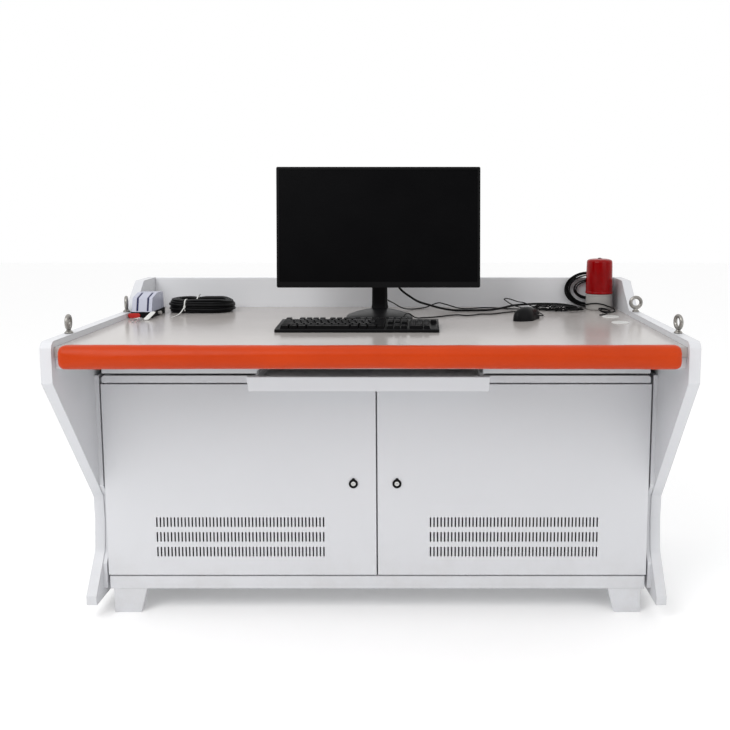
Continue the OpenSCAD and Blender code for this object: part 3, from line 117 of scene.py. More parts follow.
# a skin through rings of points, closed at both ends or joined in a loop
def addRings(shape, rings, loop=False):
    made = [[shape.verts.new(p) for p in ring] for ring in rings]
    for low, high in list(zip(made, made[1:])) + ([(made[-1], made[0])] if loop else []):
        addBand(shape, low, high)
    if not loop:
        shape.faces.new(made[0][::-1])
        shape.faces.new(made[-1])


# turns a profile of (radius, height) in millimetres about an axis through a place in the frame
def addSpun(shape, profile, place, axis=(0, 0, 1), segments=48):
    axis = Vector(axis).normalized()
    side = axis.orthogonal().normalized()
    up = axis.cross(side)
    rings = []
    for radius, height in profile:
        middle = Vector(place) + axis * (height / 1000)
        if radius < 0.001:
            rings.append([shape.verts.new(middle)])
            continue
        rings.append([shape.verts.new(middle + (side * math.cos(a) + up * math.sin(a)) * (radius / 1000))
            for a in aroundTurn(segments)])
    for low, high in zip(rings, rings[1:]):
        if len(low) > 1 and len(high) > 1:
            addBand(shape, low, high)
            continue
        for k in range(segments):
            n = (k + 1) % segments
            shape.faces.new((low[0], high[n], high[k]) if len(low) == 1 else (low[k], low[n], high[0]))


# a block from its low to its high corner in desk millimetres, with rounded edges
def addBlock(shape, low, high, edge):
    middle = (Vector(low) + Vector(high)) / 2
    made = bmesh.ops.create_cube(shape, size=1.0)["verts"]
    size = Vector(high) - Vector(low)
    for corner in made:
        corner.co = Vector((corner.co.x * size.x, corner.co.y * size.y, corner.co.z * size.z)) / 1000
    edges = list({e for corner in made for e in corner.link_edges})
    rounded = bmesh.ops.bevel(shape, geom=edges, offset=edge / 1000, segments=2, affect="EDGES", profile=0.5)
    around = {corner for face in rounded["faces"] for corner in face.verts}
    around |= {corner for corner in made if corner.is_valid}
    for corner in around:
        corner.co += desk(*middle)


# the desk place of (u, v, w) beside a point, turned about the vertical
def turnedPlace(at, degrees, u, v, w):
    cos, sin = math.cos(math.radians(degrees)), math.sin(math.radians(degrees))
    return desk(at[0] + u * cos - v * sin, at[1] + u * sin + v * cos, at[2] + w)


# an outline in (u, v) millimetres made a slab along w, with rounded rims
def addSlab(shape, outline, thick, place, rim=0.4):
    levels = ((0, rim), (rim, 0), (thick - rim, 0), (thick, rim))
    count = len(outline)
    rings = []
    for height, inset in levels:
        ring = []
        for k in range(count):
            before, at, after = (Vector(outline[(k + d) % count]) for d in (-1, 0, 1))
            n1 = Vector((-(at - before).y, (at - before).x)).normalized()
            n2 = Vector((-(after - at).y, (after - at).x)).normalized()
            p = at + (n1 + n2) * (inset / (1 + n1.dot(n2)))
            ring.append(place(p.x, p.y, height))
        rings.append(ring)
    addRings(shape, rings)


# a counter-clockwise outline with rounded corners
def roundedOutline(points, radii, steps=5):
    outline = []
    for k, at in enumerate(points):
        before, at, after = Vector(points[k - 1]), Vector(at), Vector(points[(k + 1) % len(points)])
        if radii[k] <= 0:
            outline.append(tuple(at))
            continue
        a, b = (before - at).normalized(), (after - at).normalized()
        half = math.acos(max(-1, min(1, a.dot(b)))) / 2
        start, end = at + a * radii[k] / math.tan(half), at + b * radii[k] / math.tan(half)
        centre = at + (a + b).normalized() * radii[k] / math.sin(half)
        for i in range(steps + 1):
            arm = (start - centre) * (1 - i / steps) + (end - centre) * (i / steps)
            outline.append(tuple(centre + arm.normalized() * radii[k]))
    return outline


# the outline's points spaced evenly along it
def evenOutline(outline, count):
    points = [Vector(p) for p in outline] + [Vector(outline[0])]
    runs = [0.0]
    for a, b in zip(points, points[1:]):
        runs.append(runs[-1] + (b - a).length)
    even, k = [], 0
    for i in range(count):
        run = runs[-1] * i / count
        while runs[k + 1] < run:
            k += 1
        share = (run - runs[k]) / max(runs[k + 1] - runs[k], 1e-9)
        even.append(points[k].lerp(points[k + 1], share))
    return even


# a smooth way through the points, with points about step apart
def smoothWay(points, step):
    points = [Vector(p) for p in points]
    ends = [points[0] * 2 - points[1]] + points + [points[-1] * 2 - points[-2]]
    way = []
    for k in range(1, len(ends) - 2):
        a, b, c, d = ends[k - 1], ends[k], ends[k + 1], ends[k + 2]
        t0, t1 = 0, max((b - a).length, 1e-6) ** 0.5
        t2 = t1 + max((c - b).length, 1e-6) ** 0.5
        t3 = t2 + max((d - c).length, 1e-6) ** 0.5
        count = max(1, round((c - b).length / step))
        for i in range(count):
            t = t1 + (t2 - t1) * i / count
            ab = a * ((t1 - t) / (t1 - t0)) + b * ((t - t0) / (t1 - t0))
            bc = b * ((t2 - t) / (t2 - t1)) + c * ((t - t1) / (t2 - t1))
            cd = c * ((t3 - t) / (t3 - t2)) + d * ((t - t2) / (t3 - t2))
            abc = ab * ((t2 - t) / (t2 - t0)) + bc * ((t - t0) / (t2 - t0))
            bcd = bc * ((t3 - t) / (t3 - t1)) + cd * ((t - t1) / (t3 - t1))
            way.append(abc * ((t2 - t) / (t2 - t1)) + bcd * ((t - t1) / (t2 - t1)))
    way.append(points[-1])
    return way


def wayLength(way):
    return sum((b - a).length for a, b in zip(way, way[1:]))


# the first stretch of a way, with its points a step apart
def wayStart(way, length, step):
    part, run, due = [], 0.0, 0.0
    for a, b in zip(way, way[1:]):
        gap = (b - a).length
        while due <= run + gap and due <= length:
            part.append(a.lerp(b, (due - run) / gap))
            due += step
        run += gap
    return part


# a round cord: a tube along the way, with closed ends and a UV map along its length
def cordPiece(name, way, diameter, sides=10, girth=None):
    count = len(way)
    along = [(way[min(i + 1, count - 1)] - way[max(i - 1, 0)]).normalized() for i in range(count)]
    side = along[0].orthogonal().normalized()
    points, uvs, run = [], [], 0.0
    for i in range(count):
        side = (side - along[i] * side.dot(along[i])).normalized()
        up = along[i].cross(side)
        if i:
            run += (way[i] - way[i - 1]).length
        radius = diameter / 2 * (girth(run) if girth else 1)
        for k, angle in enumerate(aroundTurn(sides)):
            points.append(way[i] + (side * math.cos(angle) + up * math.sin(angle)) * radius)
            uvs.append((k / sides, run))
    faces = []
    for i in range(count - 1):
        for k in range(sides):
            n = (k + 1) % sides
            faces.append((i * sides + k, i * sides + n, (i + 1) * sides + n, (i + 1) * sides + k))
    faces.append(tuple(range(sides - 1, -1, -1)))
    faces.append(tuple((count - 1) * sides + k for k in range(sides)))
    data = bpy.data.meshes.new(name)
    data.from_pydata([tuple(p) for p in points], [], faces)
    data.update()
    smoothShade(data, 60)
    layer = data.uv_layers.new(name="alongCord")
    for face in data.polygons:
        for corner, loop in enumerate(face.loop_indices):
            u, v = uvs[data.loops[loop].vertex_index]
            if len(face.vertices) == 4 and corner in (1, 2) and u == 0:
                u = 1.0
            layer.data[loop].uv = (u, v)
    return addObject(name, data)


# a tapered sleeve on a cord's first stretch, with grooves that let it bend
def sleevePiece(name, way, settings):
    start = wayStart(way, settings["length"], 0.0008)
    big, small, ribs = settings["big"], settings["small"], settings["ribs"]

    def girth(run):
        t = min(1, run / settings["length"])
        groove = 0.14 * max(0, math.sin(2 * math.pi * ribs * t)) ** 2 if 0.12 < t < 0.94 else 0
        return (big + (small - big) * t) / big * (1 - groove)

    return cordPiece(name, start, big, 16, girth)


# the cords: routes in desk millimetres, sizes in metres
screenCable = {"diameter": 0.007, "step": 0.006, "route": [
    (40, 556.8, 1071.5), (40, 566, 1071.5), (41, 579, 1064), (43, 588, 1045), (46, 592, 980), (48, 594, 930),
    (55, 600, 890), (66, 606, 876), (88, 622, 858), (115, 650, 838.5), (150, 672, 825), (187, 696, 812),
    (226, 700, 805), (268, 702, 803.9), (314, 706, 803.9), (352, 712, 804.5), (400, 745, 809), (430, 770, 812),
    (500, 795, 814), (555, 806, 813), (592, 802, 812), (616, 790, 810), (630, 777, 807.5), (635, 769, 798),
    (635, 768, 776)],
    "sleeve": {"length": 0.024, "big": 0.0125, "small": 0.0084, "ribs": 5}}
screenLead = {"diameter": 0.004, "step": 0.005, "route": [
    (-43, 556.8, 1071.5), (-43, 566, 1071.5), (-43, 580, 1062), (-38, 592, 1036), (-26, 600, 960), (-8, 608, 900),
    (4, 613, 872), (15, 621, 850.5), (35, 660, 833), (58, 714, 812.5), (76, 736, 804.4), (97, 750, 802.4),
    (122, 770, 802.4), (143, 788, 804.6), (161, 797, 811), (183, 800, 817), (205, 798, 812.5), (227, 791, 806.6),
    (245, 777, 803), (264, 763, 802.4), (290, 767, 802.4), (330, 788, 802.4), (362, 782, 802.4), (395, 764, 802.4),
    (430, 755, 802.4), (490, 752, 802.4), (550, 750, 802.4), (590, 752, 803.4), (607, 758, 805.8), (618, 762, 799),
    (620, 762, 776)],
    "sleeve": {"length": 0.022, "big": 0.0095, "small": 0.0052, "ribs": 5}}
keyboardCord = {"diameter": 0.004, "step": 0.003, "route": [
    (64, 394.6, 809), (65, 403, 811), (69, 416, 817), (75, 430, 823.5), (80, 446, 827), (87, 464, 824.5),
    (95, 484, 817), (104, 505, 808), (114, 524, 803.2), (127, 536, 802.4), (153, 546, 802.4), (184, 566, 802.4),
    (214, 594, 802.4), (237, 604, 802.4), (262, 590, 802.4), (286, 600, 802.4), (308, 620, 802.4), (346, 624, 802.4),
    (391, 662, 802.4), (420, 680, 802.4), (450, 692, 802.4), (480, 707, 804.5)],
    "exitRoute": [(610, 688, 806), (623, 694, 806.5), (629, 708, 806.5), (628, 725, 806.5), (626, 737, 805.5),
        (624.8, 744.5, 800), (624, 748, 790), (624, 748, 776)],
    "runs": (190, 70, 310),
    "sleeve": {"length": 0.016, "big": 0.0075, "small": 0.005, "ribs": 3}}
mouseCord = {"diameter": 0.0036, "step": 0.003, "route": [
    (478.2, 540.7, 808), (485, 547, 807.5), (494, 557, 806), (500, 573, 804.5), (500, 600, 805), (490, 636, 808),
    (468, 672, 812), (431, 712, 816.5), (416, 745, 821), (404, 780, 827.5), (401, 795, 830.5), (410, 802, 831.5),
    (428, 801, 827.5), (447, 795, 821.5), (462, 782, 820.5), (477, 767, 816.5), (490, 745, 812)],
    "exitRoute": [(616, 686, 811.5), (634, 694, 812), (643, 712, 811), (643, 732, 809), (641.5, 744, 804.5),
        (640, 750, 795), (640, 750, 776)],
    "runs": (10, 130, 250),
    "sleeve": {"length": 0.014, "big": 0.0066, "small": 0.0046, "ribs": 3}}
# the two cords' spare length, laid to and fro
hank = {"start": (530, 715.5), "end": (590, 694.5), "lift": 811.6, "wide": 10.0, "high": 8.6, "twist": 1.0,
    "fold": 12.5, "reach": 25}


# the runs twist loosely about each other; each fold is a small round loop
def hankPoints(places):
    start, end = Vector((*hank["start"], 0)), Vector((*hank["end"], 0))
    along = (end - start).normalized()
    aside = Vector((-along.y, along.x, 0))

    def across(number, share):
        angle = math.radians(places[number] + 360 * hank["twist"] * gentle(share))
        lane = hank["wide"] * math.cos(angle) + 1.5 * math.sin(6.3 * share)
        return lane, hank["lift"] + hank["high"] * math.sin(angle)

    points = []
    for number in range(len(places)):
        forwards = number % 2 == 0
        for i in range(9):
            share = i / 8 if forwards else 1 - i / 8
            lane, height = across(number, share)
            place = start.lerp(end, share) + aside * lane
            place.z = height
            points.append(place)
        if number < len(places) - 1:
            share = 1 if forwards else 0
            lane, height = across(number, share)
            nextLane, nextHeight = across(number + 1, share)
            sign = 1 if nextLane > lane else -1
            outwards = along if forwards else -along
            centre = (end if forwards else start) + outwards * hank["reach"] + aside * (lane + nextLane) / 2
            for angle in (-96, -48, 0, 48, 96):
                c, n = math.cos(math.radians(angle)), math.sin(math.radians(angle))
                place = centre + outwards * (hank["fold"] * c) + aside * (hank["fold"] * n * sign)
                place.z = height + (nextHeight - height) * (angle + 96) / 192
                points.append(place)
    return points


# a cord's way along its route, and through the hank if it has runs there
def cordWay(settings):
    route = settings["route"]
    if "runs" in settings:
        route = route + hankPoints(settings["runs"]) + settings["exitRoute"]
    return smoothWay([desk(*p) for p in route], settings["step"])


def declareCord(piece, way, settings, nodeNames, withPieces=(), **facts):
    for part in (piece, *withPieces):
        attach(part, "desk")
    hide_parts(*nodeNames)
    facts.setdefault("far_end", "object")
    facts.setdefault("stiffness", "limp")


cordPieces = []
for name, settings, nodeNames, stiffness in (
        ("screenCable", screenCable, ["screen_cable"], "medium"),
        ("screenLead", screenLead, ["screen_lead"], "limp"),
        ("keyboardCord", keyboardCord, ["keyboard_cord", "cord_hank"], "limp"),
        ("mouseCord", mouseCord, ["mouse_cord"], "limp")):
    way = cordWay(settings)
    cord = cordPiece(name, way, settings["diameter"], 12 if settings["diameter"] > 0.005 else 10)
    sleeve = sleevePiece(name + "Sleeve", way, settings["sleeve"])
    declareCord(cord, way, settings, nodeNames, [sleeve], stiffness=stiffness)
    cordPieces += [cord, sleeve]

# the beacon's lead: from its foot through a coil on its edge against the upstand to a bare end before the beacon
beaconLead = {"diameter": 0.004, "coilMiddle": (684, 813.5, 861.5), "lean": 5,
    # half width, half height and place across of each turn
    "turns": [(79, 57.5, -6.5), (73, 57, -2.2), (72, 56, 2.2), (68, 52, -6.3), (67, 51, 0), (63, 47, 5),
        (62, 46, -4.2), (45, 29.5, 3.8), (41.5, 26, -3), (48, 32, -6), (74, 56.5, 6.4), (70, 54, 6)],
    "start": [(679.3, 786.7, 812), (676, 792, 811), (671, 797, 810.5)],
    "tail": [(690, 803, 807), (670, 799, 808.5), (660, 785, 811), (664.5, 766, 814), (666.5, 742, 819),
        (677, 725.5, 823), (693.8, 715, 825), (712.9, 712.5, 822), (731, 717.5, 815.5), (746, 711, 809.5),
        (750, 696, 804), (741, 680, 802.4), (726, 668, 802.4), (709, 656, 802.6), (697, 661, 806), (698, 675, 809.5),
        (711, 681, 810), (723, 671, 808.5), (724, 655, 807.5), (712, 644, 807), (698, 648, 808.5), (690, 662, 812),
        (697, 676, 814), (711, 674, 813), (719, 660, 810.5), (716, 642, 807), (706, 624, 803.2), (694, 608, 802.4),
        (680, 600, 802.4)],
    "sleeve": {"length": 0.012, "big": 0.0075, "small": 0.005, "ribs": 2}}


def coilPoints(settings):
    lean = math.radians(settings["lean"])
    up = Vector((0, math.sin(lean), math.cos(lean)))
    across = Vector((0, math.cos(lean), -math.sin(lean)))
    middle = desk(*settings["coilMiddle"])
    turns = settings["turns"]
    points = []
    for turn, (wide, high, place) in enumerate(turns):
        following = turns[min(turn + 1, len(turns) - 1)]
        for k in range(24):
            if (turn == 0 and k < 2) or (turn == len(turns) - 1 and k > 22):
                continue
            blend = gentle((k - 15) / 9)
            angle = -math.pi / 2 - 2 * math.pi * k / 24
            a = wide + (following[0] - wide) * blend + 1.1 * math.sin(turn * 2.3 + angle * 2)
            b = min(57.4, high + (following[1] - high) * blend + 0.8 * math.sin(turn * 1.7 + angle))
            off = place + (following[2] - place) * blend
            points.append(middle + (Vector((1, 0, 0)) * math.cos(angle) * a + up * math.sin(angle) * b
                + across * off) / 1000)
    return points


beaconRoute = [desk(*p) for p in beaconLead["start"]] + coilPoints(beaconLead)
beaconRoute += [desk(*p) for p in beaconLead["tail"]]
beaconWay = smoothWay(beaconRoute, 0.004)
beaconPiece = cordPiece("beaconLead", beaconWay, beaconLead["diameter"], 8)
beaconSleeve = sleevePiece("beaconLeadSleeve", beaconWay, beaconLead["sleeve"])
declareCord(beaconPiece, beaconWay, beaconLead, ["beacon_lead", "beacon_coil"], [beaconSleeve], lay="coiled",
    far_end="bare")
cordPieces += [beaconPiece, beaconSleeve]

# the spare cable: a flat oval coil whose turns lie in rows, drawn together where the ties hold it
spareCable = {"diameter": 0.008, "middle": (-585, 712, 800.3), "straight": 45, "half": 62.5, "steps": 40,
    # height, first inset and strands of each row
    "rows": [(4.3, 8.6, 4), (11.4, 4.4, 5), (18.5, 8.4, 5), (25.6, 4.4, 5), (32.7, 8.8, 4), (39.6, 12.8, 3)],
    "pitch": 8.2, "limbMiddle": (23.2, 22.5), "ties": [(-43, -1), (-24, 1)], "drawn": 0.15}


# the oval's point at t turns, in millimetres from the coil's middle
def ovalPoint(t, straight, half):
    around = 4 * straight + 2 * math.pi * half
    run = (t % 1.0) * around
    if run < 2 * straight:
        return Vector((-straight + run, -half, 0))
    run -= 2 * straight
    if run < math.pi * half:
        angle = -math.pi / 2 + run / half
        return Vector((straight + math.cos(angle) * half, math.sin(angle) * half, 0))
    run -= math.pi * half
    if run < 2 * straight:
        return Vector((straight - run, half, 0))
    angle = math.pi / 2 + (run - 2 * straight) / half
    return Vector((-straight + math.cos(angle) * half, math.sin(angle) * half, 0))


def sparePoints(s):
    cells = []
    for row, (height, first, count) in enumerate(s["rows"]):
        insets = [first + k * s["pitch"] for k in range(count)]
        cells += [(inset, height) for inset in (insets if row % 2 == 0 else insets[::-1])]
    points = []
    for turn, cell in enumerate(cells):
        following = cells[min(turn + 1, len(cells) - 1)]
        for k in range(s["steps"]):
            blend = gentle((k / s["steps"] - 0.6) / 0.3)
            inset = cell[0] + (following[0] - cell[0]) * blend + 0.7 * math.sin(turn * 2.1 + k * 0.31)
            height = cell[1] + (following[1] - cell[1]) * blend + 0.5 * math.sin(turn * 1.3 + k * 0.23)
            place = ovalPoint(k / s["steps"] + 0.55, s["straight"], s["half"] - inset)
            drawn = 0
            for tieX, side in s["ties"]:
                if place.y * side > 0:
                    drawn = max(drawn, s["drawn"] * math.exp(-((place.x - tieX) / 15) ** 2))
            inset += (s["limbMiddle"][0] - inset) * drawn
            height += (s["limbMiddle"][1] - height) * drawn
            place = ovalPoint(k / s["steps"] + 0.55, s["straight"], s["half"] - inset)
            taper = max(0, place.x - 60) / 47                    # the coil lies lower towards its right end
            height = 4.3 + (height - 4.3) * (1 - 0.28 * taper)
            points.append(desk(*(Vector(s["middle"]) + Vector((place.x, place.y, max(4.3, height))))))
    return points


spareWay = smoothWay(sparePoints(spareCable), 0.006)
sparePiece = cordPiece("spareCable", spareWay, spareCable["diameter"], 8)


# a strap round a bundle: a closed loop of flat section, its width along X
def addStrap(shape, x, middle, halfWide, halfHigh, width, thick):
    rings = []
    for angle in aroundTurn(32):
        out = Vector((0, math.copysign(abs(math.cos(angle)) ** 0.8, math.cos(angle)),
            math.copysign(abs(math.sin(angle)) ** 0.8, math.sin(angle))))
        inner = Vector((0, middle[0], middle[1])) + Vector((0, out.y * halfWide, out.z * halfHigh))
        outer = inner + out * thick
        rings.append([desk(x - width / 2, inner.y, inner.z), desk(x - width / 2, outer.y, outer.z),
            desk(x + width / 2, outer.y, outer.z), desk(x + width / 2, inner.y, inner.z)])
    addRings(shape, rings, loop=True)


# two white ties round the spare cable, each with its head and its cut or long tail
spareTies = bmesh.new()
for x, y, tail in ((-628, 673.5, [(-628, 652, 822), (-630, 641, 815), (-633, 620, 806), (-636, 597, 801.8),
        (-639, 573, 801.1), (-641, 549, 801.1)]),
        (-609, 751, [(-609, 752, 842), (-604, 748, 849), (-598, 742, 853)])):
    addStrap(spareTies, x, (y, 822.2), 21.0, 20.4, 3.6, 1.1)
    head = Vector(tail[0])
    addBlock(spareTies, head - Vector((3.2, 2.6, 3.4)), head + Vector((3.2, 2.6, 3.4)), 0.8)
    way = smoothWay([Vector(p) for p in tail], 4)
    rings = []
    for k, at in enumerate(way):
        along = (way[min(k + 1, len(way) - 1)] - way[max(k - 1, 0)]).normalized()
        side = along.cross(Vector((0, 0, 1))).normalized()
        top = side.cross(along)
        rings.append([desk(*(at + side * a * 1.7 + top * b * 0.5)) for a, b in ((-1, -1), (-1, 1), (1, 1), (1, -1))])
    addRings(spareTies, rings)
spareTiesPiece = bmeshPiece("spareTies", spareTies)
declareCord(sparePiece, spareWay, spareCable, ["spare_cable"], [spareTiesPiece], stiffness="medium", lay="coiled",
    far_end="bare")
cordPieces.append(sparePiece)
print("cords laid:", round(wayLength(beaconWay), 2), "m beacon lead,", round(wayLength(spareWay), 2), "m spare cable")


# gives a node's inputs, by name or number, their values or the outputs they take
def feed(tree, node, values):
    for key, value in values.items():
        if isinstance(value, bpy.types.NodeSocket):
            tree.links.new(value, node.inputs[key])
        else:
            node.inputs[key].default_value = value


# a new node with its settings, its inputs by number and its inputs by name
def newNode(tree, kind, settings=None, numbered=None, **named):
    node = tree.nodes.new(kind)
    for key, value in (settings or {}).items():
        setattr(node, key, value)
    feed(tree, node, numbered or {})
    feed(tree, node, {name.replace("_", " "): value for name, value in named.items()})
    return node


def noiseOn(tree, source, scale, detail, rough=0.55):
    return newNode(tree, "ShaderNodeTexNoise", Vector=source, Scale=scale, Detail=detail,
        Roughness=rough).outputs["Fac"]


def mapTo(tree, source, low, high, fromLow=0.3, fromHigh=0.7):
    return newNode(tree, "ShaderNodeMapRange", Value=source, From_Min=fromLow, From_Max=fromHigh, To_Min=low,
        To_Max=high).outputs["Result"]


def mixColour(tree, share, first, second):
    first, second = ((*colour, 1) if isinstance(colour, tuple) else colour for colour in (first, second))
    return newNode(tree, "ShaderNodeMix", {"data_type": "RGBA"}, {0: share, 6: first, 7: second}).outputs[2]


def timesOf(tree, first, second):
    return newNode(tree, "ShaderNodeMath", {"operation": "MULTIPLY"}, {0: first, 1: second}).outputs[0]


# the normal that a height bumps, on top of another one if given
def bumpOn(tree, height, strength, distance, normal=None):
    under = {} if normal is None else {"Normal": normal}
    return newNode(tree, "ShaderNodeBump", None, under, Height=height, Strength=strength,
        Distance=distance).outputs["Normal"]


# a new material, its tree and shader, and the object's coordinates
def newMaterial(name):
    material = bpy.data.materials.new(name)
    material.use_nodes = True
    tree = material.node_tree
    return material, tree, tree.nodes["Principled BSDF"], newNode(tree, "ShaderNodeTexCoord").outputs["Object"]


# one finish from its settings: colour with a faint drift, uneven gloss, grain as bump, edges that catch light
def finish(name, s):
    material, tree, shader, coords = newMaterial(name)
    drift = noiseOn(tree, coords, s.get("driftScale", 3.0), 5.0)
    colour = mixColour(tree, mapTo(tree, drift, 0, 1), s["colour"], s["drift"])
    if "dust" in s:                                              # settles towards the floor
        height = newNode(tree, "ShaderNodeSeparateXYZ", None, {0: coords}).outputs[2]
        low = mapTo(tree, height, 1, 0, 0.03, 0.22)
        patches = mapTo(tree, noiseOn(tree, coords, 9, 6.0, 0.7), 0, 1, 0.45, 0.75)
        colour = mixColour(tree, timesOf(tree, timesOf(tree, low, patches), s["dustShare"]), colour, s["dust"])
    gloss = noiseOn(tree, coords, s.get("glossScale", 14.0), 3.0)
    normal = None
    if "edge" in s:
        normal = newNode(tree, "ShaderNodeBevel", {"samples": 4}, Radius=s["edge"]).outputs["Normal"]
    for scale, strength, distance, detail in s["grain"]:
        normal = bumpOn(tree, noiseOn(tree, coords, scale, detail), strength, distance, normal)
    feed(tree, shader, {"Base Color": colour, "Roughness": mapTo(tree, gloss, *s["roughness"]),
        "Metallic": s.get("metallic", 0.0), "Specular IOR Level": s.get("specular", 0.5), "Normal": normal})
    return material


finishes = {
    "whitePaint": {"colour": (0.66, 0.668, 0.692), "drift": (0.637, 0.645, 0.669), "driftScale": 1.6,
        "roughness": (0.32, 0.44), "specular": 0.35, "edge": 0.0022, "dust": (0.42, 0.40, 0.37), "dustShare": 0.35,
        "grain": [(420, 0.06, 0.0006, 2.0)]},
    # the upstand's white: the cabinet's white paint made lighter, as painted light on the upstand
    "upstandWhiteWithPaintedLight": {"colour": (0.82, 0.828, 0.85), "drift": (0.795, 0.803, 0.825), "driftScale": 1.6,
        "roughness": (0.32, 0.44), "specular": 0.35, "edge": 0.0022, "grain": [(420, 0.06, 0.0006, 2.0)]},
    "worktopPaint": {"colour": (0.43, 0.405, 0.39), "drift": (0.41, 0.386, 0.373), "driftScale": 0.9,
        "roughness": (0.16, 0.22), "glossScale": 5, "edge": 0.002, "grain": [(380, 0.03, 0.0004, 2.0)]},
    "zincSteel": {"colour": (0.55, 0.56, 0.57), "drift": (0.47, 0.48, 0.50), "driftScale": 30,
        "roughness": (0.32, 0.5), "metallic": 0.9, "edge": 0.0008, "grain": [(900, 0.08, 0.0002, 2.0)]},
    "forgedSteel": {"colour": (0.40, 0.385, 0.36), "drift": (0.24, 0.23, 0.215), "driftScale": 60,
        "roughness": (0.22, 0.42), "metallic": 0.9, "grain": [(500, 0.25, 0.0004, 3.0)]},
    "brightSteel": {"colour": (0.60, 0.60, 0.59), "drift": (0.50, 0.50, 0.49), "driftScale": 45,
        "roughness": (0.2, 0.36), "metallic": 1.0, "grain": [(700, 0.10, 0.0003, 3.0)]},
    "blackPlastic": {"colour": (0.004, 0.004, 0.0045), "drift": (0.006, 0.006, 0.0065), "roughness": (0.36, 0.48),
        "specular": 0.1, "edge": 0.0006, "grain": [(1500, 0.10, 0.0002, 2.0)]},
    "blackGloss": {"colour": (0.004, 0.004, 0.0045), "drift": (0.006, 0.006, 0.0065), "roughness": (0.26, 0.36),
        "specular": 0.12, "grain": [(60, 0.02, 0.0002, 1.0)]},
    "screenPanel": {"colour": (0.0018, 0.0018, 0.0022), "drift": (0.0024, 0.0024, 0.0028), "roughness": (0.30, 0.36),
        "specular": 0.06, "grain": [(2600, 0.03, 0.0001, 1.0)]},
    "keyPlastic": {"colour": (0.0035, 0.0035, 0.004), "drift": (0.006, 0.006, 0.0065), "driftScale": 40,
        "roughness": (0.30, 0.45), "specular": 0.1, "edge": 0.0005, "grain": [(1800, 0.12, 0.0002, 2.0)]},
    "palePlastic": {"colour": (0.66, 0.665, 0.66), "drift": (0.62, 0.625, 0.62), "roughness": (0.35, 0.5),
        "edge": 0.0008, "grain": [(1400, 0.05, 0.0002, 2.0)]},
    "beaconGrey": {"colour": (0.38, 0.367, 0.35), "drift": (0.345, 0.334, 0.32), "roughness": (0.4, 0.55),
        "grain": [(1200, 0.08, 0.0002, 2.0)]},
    "boxLilac": {"colour": (0.44, 0.455, 0.55), "drift": (0.41, 0.425, 0.52), "roughness": (0.25, 0.35),
        "edge": 0.0005, "grain": [(900, 0.03, 0.0002, 2.0)]},
    "stripeBlue": {"colour": (0.006, 0.008, 0.06), "drift": (0.008, 0.010, 0.075), "roughness": (0.3, 0.4),
        "specular": 0.2, "grain": [(900, 0.03, 0.0002, 2.0)]},
    "cordRubber": {"colour": (0.003, 0.003, 0.0035), "drift": (0.005, 0.005, 0.0055), "driftScale": 60,
        "roughness": (0.36, 0.5), "specular": 0.12, "grain": [(1600, 0.12, 0.0002, 2.0)]},
    "caseBlack": {"colour": (0.02, 0.02, 0.022), "drift": (0.026, 0.026, 0.028), "roughness": (0.45, 0.6),
        "edge": 0.001, "grain": [(700, 0.15, 0.0003, 2.0)]},
    "coreSteel": {"colour": (0.10, 0.085, 0.07), "drift": (0.07, 0.06, 0.05), "driftScale": 40,
        "roughness": (0.4, 0.6), "metallic": 0.3, "edge": 0.001, "grain": [(600, 0.15, 0.0003, 2.0)]},
    "tagRed": {"colour": (0.50, 0.02, 0.015), "drift": (0.42, 0.015, 0.012), "roughness": (0.2, 0.32),
        "grain": [(900, 0.05, 0.0002, 2.0)]},
    "tieWhite": {"colour": (0.68, 0.68, 0.66), "drift": (0.62, 0.62, 0.60), "roughness": (0.35, 0.5),
        "grain": [(900, 0.05, 0.0002, 2.0)]},
    "ledgeWhite": {"colour": (0.60, 0.60, 0.59), "drift": (0.55, 0.55, 0.54), "roughness": (0.25, 0.4),
        "grain": [(900, 0.05, 0.0002, 2.0)]},
}
materials = {name: finish(name, settings) for name, settings in finishes.items()}


# the armrest's orange leather: fine cells with creases between them, with painted shade darkening the creases
def armrestLeather():
    material, tree, shader, coords = newMaterial("armrestLeather")
    drift = mapTo(tree, noiseOn(tree, coords, 4.0, 5.0), 0, 1)
    wander = newNode(tree, "ShaderNodeTexNoise", Scale=160, Detail=2.0).outputs["Color"]
    stirred = newNode(tree, "ShaderNodeVectorMath", {"operation": "MULTIPLY_ADD"},
        {0: wander, 1: (0.004, 0.004, 0.004), 2: coords}).outputs[0]
    cells = newNode(tree, "ShaderNodeTexVoronoi", {"feature": "DISTANCE_TO_EDGE"}, Scale=420,
        Vector=stirred).outputs["Distance"]
    paintedCreaseShade = mapTo(tree, cells, 1, 0, 0.0, 0.05)
    colour = mixColour(tree, drift, (0.54, 0.047, 0.0025), (0.46, 0.037, 0.002))
    # painted shade: the creases between the cells are mixed towards a darker orange
    colour = mixColour(tree, timesOf(tree, paintedCreaseShade, 0.35), colour, (0.34, 0.022, 0.003))
    fine = bumpOn(tree, cells, 0.25, 0.0005)
    broad = bumpOn(tree, noiseOn(tree, coords, 75, 3.0), 0.18, 0.0012, fine)
    feed(tree, shader, {"Base Color": colour, "Roughness": mapTo(tree, noiseOn(tree, coords, 30, 4.0), 0.30, 0.44),
        "Specular IOR Level": 0.16, "Normal": broad})
    return material


# the beacon's dome lets light through
def clearRed():
    material, tree, shader, coords = newMaterial("clearRed")
    drift = noiseOn(tree, coords, 30, 2.0)
    colour = mixColour(tree, mapTo(tree, drift, 0, 1), (0.36, 0.0008, 0.002), (0.29, 0.0006, 0.0015))
    feed(tree, shader, {"Base Color": colour, "Roughness": mapTo(tree, drift, 0.08, 0.16),
        "Transmission Weight": 0.25, "Specular IOR Level": 0.08})
    return material


materials["armrestLeather"] = armrestLeather()
materials["clearRed"] = clearRed()


def paint(piece, name):
    piece.data.materials.clear()
    piece.data.materials.append(materials[name])


for piece in cordPieces:
    paint(piece, "cordRubber")
paint(spareTiesPiece, "tieWhite")


